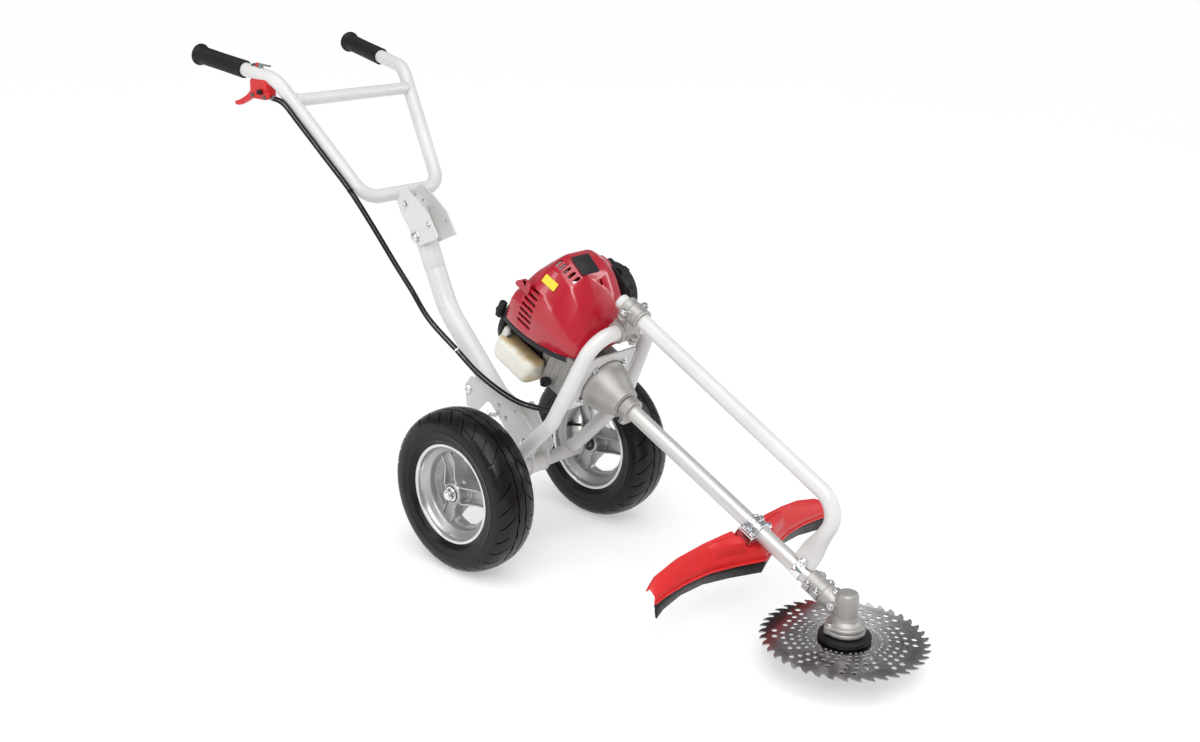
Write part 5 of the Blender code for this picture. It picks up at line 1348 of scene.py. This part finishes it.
def tank():
    """The blow-moulded tank with its primer bulb, fuel pipes and cap, and the oil filler's cap."""
    reach, top, swell = 0.0485, -0.012, 0.015
    edge = math.acos(-top / reach)
    hollow = [Vector((reach * math.sin(edge * (1 - k / 14)), -reach * math.cos(edge * (1 - k / 14)), 0))
              for k in range(29)]
    sections = []
    for k in range(18):
        t = math.radians(90 * min(k, 17 - k) / 8)
        inset = swell * (1 - math.sin(t))
        y = 0.0845 + swell * (1 - math.cos(t)) if k < 9 else 0.1775 - swell * (1 - math.cos(t))
        x0, x1, low = -0.0785 + inset, 0.0695 - inset, -0.061 + inset
        side_top = top - inset * 0.5
        corners = [Vector((-0.05, top, 0)), Vector((x0, side_top, 0)), Vector((x0, low, 0)),
                   Vector((x1, low, 0)), Vector((x1, side_top, 0)), Vector((0.05, top, 0))]
        shape = rounded(corners, [0, 0.0125, 0.014, 0.014, 0.011, 0], 8) + hollow
        sections.append([Vector((p.x, y, p.y)) for p in shape])
    neck = rod(0.0148, 0.056, 0.0758, steps=48, axis="X", centre=(0, 0.15, -0.036))
    tub = casting("tank_shell", [loft(sections), neck], TANK, 0.0015, 14, at=ENGINE, replaces=["fuel_tank"],
                  slot="cream_tank")
    tub.data.shade_smooth()
    bulb = lathe([(0, -0.001), (0.007, -0.001), (0.0078, 0.0005), (0.0078, 0.006), (0.0065, 0.0085),
                  (0.0062, 0.012), (0.0045, 0.015), (0, 0.016)], 32)
    seat = aim((-0.065, 0.166, -0.013), (0, 0.15, 1))
    make("primer_bulb", moved(bulb, seat), PEARL, at=ENGINE)
    pipes = []
    for x, bend in ((-0.062, 0.0), (-0.069, 0.004)):
        run = [Vector((x, 0.16, -0.012)), Vector((x, 0.153 - bend, 0.002)),
               Vector((x + 0.006, 0.14, 0.008)), Vector((x + 0.02, 0.124, 0.013)),
               Vector((x + 0.03, 0.11, 0.022))]
        pipes.append(sweep(smooth(run, 8), 0.0016, 12, ease=0.0002))
    make("fuel_pipes", merged(*pipes), SHEATH, at=ENGINE)
    cap = [(0, 0.0838), (0.0172, 0.0838), (0.0188, 0.0826), (0.0192, 0.08), (0.0192, 0.072),
           (0.0186, 0.0712), (0.0156, 0.0712), (0.0156, 0.0764), (0, 0.0764)]
    verts, faces = lathe(cap, 96, axis="X")
    ridged = []
    for v in verts:
        turn = math.atan2(v.z, v.y)
        if math.hypot(v.y, v.z) > 0.017 and 0.0718 < v.x < 0.0832:
            v = Vector((v.x, v.y * (1 + 0.025 * math.cos(24 * turn)),
                        v.z * (1 + 0.025 * math.cos(24 * turn))))
        ridged.append(v)
    make("fuel_cap_body", (ridged, faces), BLACK, "fuel_cap", ENGINE @ Matrix.Translation((0, 0.15,
                                                                                           -0.036)),
         replaces=["fuel_cap"], slot="black_plastic", bevel=0.0005)
    oil = [(0, -0.0505), (0, -0.064), (0.0068, -0.064), (0.0082, -0.0628), (0.0085, -0.06),
           (0.0085, -0.055), (0.0078, -0.054), (0.006, -0.0538), (0.006, -0.0505)]
    grip = block((-0.0668, 0.0605, -0.0405), (-0.063, 0.0635, -0.0275), 0.001, "X")
    make("oil_cap_body", merged(lathe(oil, 40, (0, 0.062, -0.034), "X"), grip), BLACK, "oil_filler_cap",
         ENGINE, replaces=["oil_filler_cap"], slot="black_plastic", bevel=0.0003)


def starter():
    """The recoil starter: drum, ribbed end cover and pull handle."""
    drum = [(0.0, 0.105), (0.04, 0.105), (0.04, 0.099), (0.0468, 0.099), (0.0475, 0.0998), (0.0475, 0.15),
            (0.0455, 0.151), (0.0455, 0.156), (0.0475, 0.157), (0.0475, 0.178), (0.064, 0.1785),
            (0.0655, 0.18), (0.066, 0.182), (0.066, 0.1875), (0.065, 0.19), (0.062, 0.1918),
            (0.056, 0.1918), (0.0545, 0.19), (0.052, 0.19), (0.0505, 0.1918), (0.026, 0.1918),
            (0.0245, 0.1895), (0.0, 0.1895)]
    shell = make("starter_shell", lathe(drum, 96, axis="Y"), BLACK, at=ENGINE, replaces=["recoil_starter"],
                 slot="black_plastic", bevel=0.0006)
    settle(shell)
    cuts = []
    for k in range(16):
        spin = Matrix.Rotation(2 * math.pi * k / 16, 4, "Y")
        cuts.append(moved(block((0.03, 0.184, -0.0022), (0.047, 0.196, 0.0022), 0.0018, "Y"), spin))
    cut(shell, cuts, ENGINE)
    screws = []
    for k in range(4):
        turn = math.radians(45 + 90 * k)
        screws.append(moved(socket_bolt(0.003, 0.002), aim((0.059 * math.cos(turn), 0.1912,
                                                            0.059 * math.sin(turn)), (0, 1, 0))))
    make("starter_screws", merged(*screws), ZINC, at=ENGINE, slot="zinc")
    bar = [block((-0.006, -0.0062, -0.014), (0.006, 0.0062, 0.014), 0.0045, "Z"),
           lathe([(0, 0.0045), (0.0045, 0.0045), (0.0058, 0.001), (0.006, -0.006), (0.0045, -0.009),
                  (0, -0.0095)], 24, axis="X"), *[block((-0.0064, -0.0066, z - 0.0008),
                                                        (0.0064, 0.0066, z + 0.0008), 0.0045, "Z")
                                                  for z in (-0.009, -0.0045, 0.0045, 0.009)]]
    casting("recoil_grip", bar, BLACK, 0.0006, 2, body="recoil_handle",
            at=ENGINE @ Matrix.Translation((-0.077, 0.186, 0.03)), replaces=["recoil_handle"],
            slot="black_plastic")


def engine_sides():
    """The parts that stand beside the cylinder."""
    box = [block((-0.0735, 0.0905, 0.0545), (-0.0465, 0.1495, 0.1015), 0.009, "X", 8)]
    for h in (0.066, 0.078, 0.09):
        box.append(block((-0.0742, 0.096, h - 0.0012), (-0.07, 0.144, h + 0.0012), 0.001, "X"))
    casting("muffler_box", box, STEEL, 0.001, 2, at=ENGINE, replaces=["muffler"], slot="steel")
    body = [block((0.0312, 0.0612, 0.0402), (0.0578, 0.0868, 0.0658), 0.006, "X", 6),
            rod(0.0095, 0.0312, 0.0582, steps=40, axis="X", centre=(0, 0.074, 0.053)),
            rod(0.006, 0.033, 0.04, steps=28, axis="Z", centre=(0.044, 0.074, 0))]
    casting("carburettor_body", body, CAST, 0.0007, 2, at=ENGINE, replaces=["carburettor"],
            slot="cast_aluminium", cuts=[rod(0.0075, 0.02, 0.07, axis="X", centre=(0, 0.074, 0.053))])
    drum = [(0, 0.0583), (0.0495, 0.0583), (0.0515, 0.0595), (0.052, 0.062), (0.052, 0.07),
            (0.0508, 0.0706), (0.0508, 0.0722), (0.052, 0.0728), (0.052, 0.0815), (0.051, 0.085),
            (0.048, 0.0882), (0.043, 0.0898), (0.03, 0.0898), (0.029, 0.089), (0.018, 0.089),
            (0.017, 0.0898), (0, 0.0898)]
    shell = make("air_cleaner_drum", lathe(drum, 96, (0, 0.1, 0.094), "X"), BLACK, at=ENGINE,
                 replaces=["air_cleaner"], slot="black_plastic", bevel=0.0006)
    settle(shell)
    slots = []
    for k in range(7):
        h = 0.073 + 0.007 * k
        reach = 0.03 - abs(k - 3) * 0.0045
        slots.append(block((0.086, 0.1 - reach, h), (0.096, 0.1 + reach, h + 0.003), 0.0014, "X"))
    cut(shell, slots + [rod(0.008, 0.05, 0.075, axis="X", centre=(0, 0.074, 0.053))], ENGINE)
    ears = []
    for turn, size in ((100, 0.0105), (140, 0.009), (60, 0.009)):
        t = math.radians(turn)
        spot = (0, 0.1 + 0.049 * math.cos(t), 0.094 + 0.049 * math.sin(t))
        ears.append(rod(size, 0.06, 0.079, steps=6, axis="X", centre=spot))
    make("air_cleaner_clips", merged(*ears), BLACK, at=ENGINE, bevel=0.0012, slot="black_plastic")
    make("air_cleaner_knob", merged(lathe([(0, 0.0888), (0.007, 0.0888), (0.0074, 0.0896), (0.0064, 0.0902),
                                           (0, 0.0904)], 32, (0, 0.142, 0.094), "X")), DARK_STEEL,
         at=ENGINE)
    lever = [(-0.005, -0.003), (-0.003, -0.005), (0.003, -0.005), (0.005, -0.003), (0.0045, 0.012),
             (0.003, 0.0245), (0.0015, 0.026), (-0.0015, 0.026), (-0.003, 0.0245), (-0.0045, 0.012)]
    make("choke_arm", sheet(lever, 0.0, 0.003, "X"), BLACK, "choke_lever",
         ENGINE @ Matrix.Translation((0.0905, 0.072, 0.086)), replaces=["choke_lever"],
         slot="black_plastic", bevel=0.0005)


# ---------------------------------------------------------------- column

def crossing_bolt(name, body, centre):
    """A dome bolt along X with a nut and washers, outside two plates."""
    face = 0.023
    head = [(0.005, -face), (0.0112, -face), (0.0114, -face - 0.0008), (0.011, -face - 0.0014),
            (0.0088, -face - 0.0016), (0.009, -face - 0.003), (0.0084, -face - 0.0048),
            (0.0064, -face - 0.006), (0.0035, -face - 0.0066), (0, -face - 0.0068)]
    nut = [(0, face + 0.0078), (0.004, face + 0.0078), (0.0048, face + 0.007), (0.0048, face + 0.0058),
           (0.0072, face + 0.0058), (0.0092, face + 0.0048, 6, 0.009), (0.0092, face + 0.0014, 6, 0.009),
           (0.0112, face + 0.0012), (0.0112, face), (0.005, face)]
    make(name, lathe(head + list(reversed(nut)), 48, centre, "X"), ZINC, body,
         replaces=[name.replace("_set", "")], slot="zinc")


def plate_shape(points, radius, holes, side, near, far):
    """An upright plate with rounded corners, on one side of the middle."""
    return sheet(outline(points, radius), *sorted((side * near, side * far)), "X", holes)


def column():
    """The column's bar and sleeve, its two cheeks with bolts and welds, and the latch's spring."""
    low, corner = Vector((0, 0.056, 0.2061)), Vector((0, 0.2226, 0.3734))
    top = FOLD + (FOLD - corner).normalized() * 0.05
    path = rounded([low, corner, top], [0, 0.16, 0], 22)
    make("column_bar", sweep(path, 0.019, 56), WHITE, "column", replaces=["column_tube"],
         slot="white_paint")
    along = (FOLD - corner).normalized()
    sleeve_at = FOLD - along * 0.032
    make("column_sleeve", lathe([(0.0185, -0.03), (0.0192, -0.03), (0.0195, -0.0295), (0.0195, 0.027),
                                 (0.0192, 0.0275), (0.0185, 0.0275)], 56), WHITE, "column",
         MACHINE @ aim(sleeve_at, along), slot="white_paint")
    rear = [(0.1382, 0.2711), (0.1534, 0.2522), (0.1498, 0.2126), (0.1208, 0.2116), (0.095, 0.2371),
            (0.0639, 0.221), (0.056, 0.201), (0.023, 0.169), (0.012, 0.1578), (0.0008, 0.1551),
            (-0.012, 0.1585), (-0.0225, 0.17), (-0.0245, 0.181)]
    front = {"right": [(-0.0253, 0.1996), (0.0255, 0.2506)], "left": [(-0.019, 0.1905), (0.022, 0.223),
                                                                      (0.0687, 0.2359)]}
    pivot = (TILT.y, TILT.z)
    window_hole = [(0.0496 + 0.0045 * y, 0.2139 + 0.007 * z) for y, z in circle((0, 0), 1.0, 28)]
    extra = {"right": [circle((0.0257, 0.2341), 0.0035), circle((0.0668, 0.2345), 0.004), window_hole],
             "left": []}
    for side, word in ((-1, "right"), (1, "left")):
        holes = [circle(pivot, 0.0053), circle((0.144, 0.247), 0.0043), *extra[word]]
        make(f"column_cheek_{word}", plate_shape(rear + front[word], 0.0045, holes, side, 0.0198, 0.0228),
             WHITE, "column", replaces=[f"column_plate_{word}"], slot="white_paint", bevel=0.0005)
        ring = lathe([(0.004, 0), (0.0072, 0), (0.0078, 0.0006), (0.0078, 0.003), (0.007, 0.004),
                      (0.0052, 0.004), (0.0046, 0.0026), (0, 0.0026), (0, 0.001), (0.004, 0.001)], 32)
        make(f"column_bolts_{word}", moved(ring, aim((side * 0.0229, 0.144, 0.247), (side, 0, 0))), ZINC,
             "column", slot="zinc")
        first, last = ((0.128, 0.2693), (0.106, 0.2652)) if side < 0 else ((0.114, 0.2588), (0.092, 0.2477))
        run = [Vector((side * 0.0192, *first)).lerp(Vector((side * 0.0192, *last)), k / 12)
               for k in range(13)]
        ripple = [1 + 0.18 * math.sin(k * 2.0) for k in range(49)]
        make(f"column_weld_{word}", sweep(smooth(run, 4), 0.0018, 12, lambda i, r=ripple: (r[i], r[i])),
             WHITE, "column", slot="white_paint")
    make("column_spacer", rod(0.0058, -0.0197, 0.0197, steps=32, axis="X", centre=(0, 0.144, 0.247)), WHITE,
         "column", slot="white_paint")
    crossing_bolt("fold_bolt_set", "column", FOLD)
    crossing_bolt("tilt_bolt_set", "chassis", TILT)
    coil = []
    for k in range(150):
        turn = 2 * math.pi * k / 15
        coil.append(Vector((-0.0262 + 0.003 * math.cos(turn), 0.069 + 0.00012 * k,
                            0.217 - 0.00002 * k + 0.003 * math.sin(turn))))
    hook = [coil[-1], Vector((-0.0262, 0.09, 0.215)), Vector((-0.0262, 0.093, 0.219)),
            Vector((-0.0262, 0.089, 0.222))]
    start = [Vector((-0.0262, 0.064, 0.225)), Vector((-0.0262, 0.067, 0.229)),
             Vector((-0.0262, 0.0668, 0.222))]
    make("latch_spring", sweep(smooth(start, 6) + coil + smooth(hook, 6), 0.0007, 8, ease=0.0001), STEEL,
         "column", slot="steel")
    dress(WHITE, "axle_bracket", bevel=0.0008)
    make("bracket_weld", moved(bead(0.0128, 0.0016, 24), aim((-0.0196, 0, TYRE_RADIUS), (1, 0, 0))), WHITE,
         slot="white_paint")


# ---------------------------------------------------------------- handlebar

HANDLE = [Vector(p) for p in ((0.0855, 0.34, 0.5665), (0.1445, 0.5065, 0.761), (0.1712, 0.6994, 0.7886))]


def handle_leg(side):
    """The bends of one leg of the handlebar, from its foot to its tip."""
    return [Vector((side * p.x, p.y, p.z)) for p in HANDLE]


def handlebar():
    """The bent tube with its crossbar, and the hinge cheeks at its foot."""
    path = rounded(list(reversed(handle_leg(-1))) + handle_leg(1), [0, 0.05, 0.04, 0.04, 0.05, 0], 16)
    make("handle_tube", sweep(path, 0.0125, 40), WHITE, "handlebar", replaces=["handlebar"],
         slot="white_paint")
    cross = Vector((0, 0.4731, 0.7267))
    make("handle_crossbar", rod(0.011, -0.1285, 0.1285, steps=40, axis="X", centre=cross), WHITE,
         "handlebar", slot="white_paint")
    beads = [moved(bead(0.0114, 0.0015, 22), aim(cross + Vector((side * 0.1222, 0, 0)), (side, 0, 0)))
             for side in (-1, 1)]
    make("crossbar_welds", merged(*beads), WHITE, "handlebar", slot="white_paint")
    corners = [(0.337, 0.568), (0.342, 0.5555), (0.3296, 0.556), (0.3209, 0.5335), (0.2995, 0.5109),
               (0.29, 0.488), (0.27, 0.483), (0.221, 0.5062), (0.2327, 0.5237), (0.246, 0.544),
               (0.2807, 0.5671), (0.3114, 0.5839)]
    holes = [circle((FOLD.y, FOLD.z), 0.0053), circle((0.3076, 0.5523), 0.0043),
             circle((0.2464, 0.5254), 0.0036)]
    socket = rod(0.0126, -0.05, 0.05, axis="X", centre=(0, HANDLE[0].y, HANDLE[0].z))
    for side, word in ((-1, "right"), (1, "left")):
        obj = make(f"hinge_cheek_{word}", plate_shape(corners, 0.0035, holes, side, 0.0196, 0.0226), WHITE,
                   "handlebar", replaces=[f"hinge_plate_{word}"], slot="white_paint")
        cut(obj, [socket])
        ease(obj, 0.0005)
        bolts = [moved(hex_bolt(0.0052, 0.004, 1.5), aim((side * 0.0227, 0.3076, 0.5523), (side, 0, 0),
                                                         0.3)), moved(socket_bolt(0.0034, 0.0034),
                                                                      aim((side * 0.0227, 0.2464, 0.5254),
                                                                          (side, 0, 0)))]
        make(f"hinge_bolts_{word}", merged(*bolts), ZINC, "handlebar", slot="zinc")


def grips():
    """Ribbed grips with a flange at the outer tip, and the small levers beside the right one."""
    for side, word in ((-1, "right"), (1, "left")):
        knee, end = handle_leg(side)[1:]
        along = (end - knee).normalized()
        at = MACHINE @ aim(end, along)
        profile = [(0, 0.0022), (0.006, 0.0022), (0.007, 0.0026), (0.018, 0.0026), (0.0194, 0.0018),
                   (0.0198, 0.0006), (0.0198, -0.0022), (0.0192, -0.0034), (0.0166, -0.0048)]
        for k in range(25):
            z = -0.008 - 0.0042 * k
            swell = 0.0003 * math.cos(k / 25 * math.pi) ** 2
            profile += [(0.0153 + swell, z), (0.0158 + swell, z - 0.0006), (0.0158 + swell, z - 0.0022),
                        (0.0153 + swell, z - 0.0028)]
        profile += [(0.016, -0.115), (0.0162, -0.1172), (0.0156, -0.118), (0.0126, -0.118), (0.0126, 0.0),
                    (0, 0.0)]
        make(f"grip_sleeve_{word}", lathe(profile, 72), GRIP, "handlebar", at, replaces=[f"grip_{word}"],
             slot="grip_rubber", angle=50)
    knee, end = handle_leg(-1)[1:]
    along = (end - knee).normalized()
    up = (Vector((0, 0, 1)) - along * along.z).normalized()
    spot = end - along * 0.14
    make("throttle_screw", moved(hex_bolt(0.0042, 0.003, 1.35), aim(spot + up * 0.012, up)), DARK_STEEL,
         "handlebar")
    spot = end - along * 0.156
    make("lock_lever_base", moved(rod(0.0052, 0.0, 0.0045, steps=28), aim(spot + up * 0.0118, up)),
         DARK_STEEL, "handlebar")
    arm = sheet(outline([(-0.003, -0.004), (0.003, -0.004), (0.0022, 0.02), (-0.0022, 0.02)], 0.0015),
                0.0048, 0.0072, "Z")
    spin = aim(spot + up * 0.0118, up, 0.0)
    forward = (spin.to_3x3().inverted() @ -along)
    turn = Matrix.Rotation(math.atan2(forward.y, forward.x) - math.pi / 2 + 0.35, 4, "Z")
    make("lock_lever", moved(arm, spin @ turn), DARK_STEEL, "handlebar", bevel=0.0005)
    make("lock_button", moved(rod(0.0036, 0.0, 0.007, steps=24), aim(spot + along * 0.008 + up * 0.0118,
                                                                     up)), SCARLET, "handlebar",
         slot="red_guard", bevel=0.0008)


def throttle():
    """The red throttle block with its trigger and stop switch."""
    knee, end = handle_leg(-1)[1:]
    along = (end - knee).normalized()
    here = knee + along * ((0.54 - knee.y) / along.y)
    body = block((-0.1605, 0.5155, 0.7245), (-0.1395, 0.5645, 0.7595), 0.007, "X", 8)
    nose = block((-0.158, 0.512, 0.727), (-0.142, 0.52, 0.738), 0.003, "Y")
    bore = moved(rod(0.01255, -0.06, 0.06, steps=48), aim(here, along))
    slit = block((-0.1545, 0.547, 0.7), (-0.1455, 0.58, 0.748), 0.0005, "Z")
    casting("throttle_housing", [body, nose], SCARLET, 0.0008, 4, cuts=[bore, slit], body="handlebar",
            replaces=["throttle_block"], slot="red_guard")
    screws = [moved(socket_bolt(0.0026, 0.002), aim((-0.1608, y, z), (-1, 0, 0))) for y,
              z in ((0.5215, 0.73), (0.557, 0.73))]
    make("throttle_screws", merged(*screws), DARK_STEEL, "handlebar")
    lever = [(-0.0035, -0.004), (0.003, -0.007), (0.016, -0.0165), (0.03, -0.024), (0.043, -0.0298),
             (0.056, -0.0345), (0.066, -0.0352), (0.069, -0.0335), (0.07, -0.029), (0.054, -0.024),
             (0.043, -0.019), (0.033, -0.014), (0.012, 0.002), (-0.002, 0.0035)]
    pivot = MACHINE @ Matrix.Translation((-0.15, 0.554, 0.74))
    make("trigger_lever", sheet(lever, -0.004, 0.004, "X"), SCARLET, "throttle_trigger", pivot,
         replaces=["throttle_trigger"], slot="red_guard", bevel=0.0012, segments=3)
    switch = MACHINE @ Matrix.Translation((-0.161, 0.532, 0.738))
    ridges = [block((-0.005, y - 0.0008, -0.0036), (-0.004, y + 0.0008, 0.0036), 0.0004, "X")
              for y in (-0.004, -0.0013, 0.0013, 0.004)]
    make("switch_slider", merged(block((-0.0044, -0.006, -0.004), (-0.0003, 0.006, 0.004), 0.0015, "X"),
                                 *ridges), BLACK, "stop_switch", switch, replaces=["stop_switch"],
         slot="black_plastic", bevel=0.0003)


# ---------------------------------------------------------------- cables

UPPER_RUN = [(-0.15, 0.5142, 0.732), (-0.15, 0.504, 0.7305), (-0.15, 0.476, 0.7245),
             (-0.141, 0.447, 0.6936), (-0.1245, 0.4005, 0.64), (-0.108, 0.3542, 0.5862),
             (-0.089, 0.319, 0.527), (-0.07, 0.28, 0.46), (-0.06, 0.2494, 0.417), (-0.05, 0.2139, 0.3674),
             (-0.036, 0.153, 0.318)]
LOWER_RUN = [(-0.036, 0.152, 0.3172), (-0.035, 0.1063, 0.2914), (-0.035, 0.0508, 0.2723),
             (-0.04, -0.0036, 0.2657), (-0.05, -0.0615, 0.2727), (-0.055, -0.093, 0.28)]
CABLE_RADIUS = 0.0024
SPREAD = Vector((-0.0048, -0.0008, -0.0034))      # from the throttle cable to the switch cable


def cables():
    """Both control cables: what the column carries and what the chassis carries, each with its ferrules."""
    for word, shift in (("throttle", Vector((0, 0, 0))), ("switch", SPREAD)):
        for part, body, run in (("upper", "column", UPPER_RUN), ("lower", "chassis", LOWER_RUN)):
            path = smooth([Vector(p) + shift for p in run], 12)
            make(f"{word}_cable_{part}_sheath", sweep(path, CABLE_RADIUS, 20, ease=0.0003), SHEATH, body,
                 replaces=[f"{word}_cable_{part}"], slot="black_plastic")
        start = Vector(UPPER_RUN[0]) + shift
        way = (Vector(UPPER_RUN[1]) - Vector(UPPER_RUN[0])).normalized()
        make(f"{word}_ferrule", lathe([(0.0019, 0), (0.0027, 0), (0.0029, 0.0004), (0.0029, 0.009),
                                       (0.0024, 0.01), (0.0019, 0.01)], 28), DARK_STEEL, "column",
             MACHINE @ aim(start, way))
    for name, spot, ahead, half, finish in (("cable_tie", UPPER_RUN[5], UPPER_RUN[6], 0.0022, SHEATH),
                                            ("cable_clip", UPPER_RUN[10], UPPER_RUN[9], 0.0008, ZINC)):
        way = (Vector(ahead) - Vector(spot)).normalized()
        wide = (SPREAD - way * SPREAD.dot(way)) / 2
        turn = Matrix((wide.normalized(), way.cross(wide).normalized(), way)).transposed().to_4x4()
        loop = [(math.copysign(wide.length, math.cos(t)) + 0.0028 * math.cos(t), 0.0028 * math.sin(t))
                for t in [2 * math.pi * (k + 0.5) / 24 for k in range(24)]]
        place = Matrix.Translation(Vector(spot) + wide + way * 0.004) @ turn
        make(name, moved(sheet(loop, -half, half, "Z"), place), finish, "column")


# ---------------------------------------------------------------- everything

for side in (-1, 1):
    tyre(side)
    rim(side)
axle_ends()
hoop()
support_tube()
crest_clamp()
mounting_plate()
clutch_and_tube()
tie_band()
head_casting()
saw_blade()
inner_drive()
guard()
guard_clamp()
cover_parts()
engine_body()
tank()
starter()
engine_sides()
column()
handlebar()
grips()
throttle()
cables()
camera()
studio()
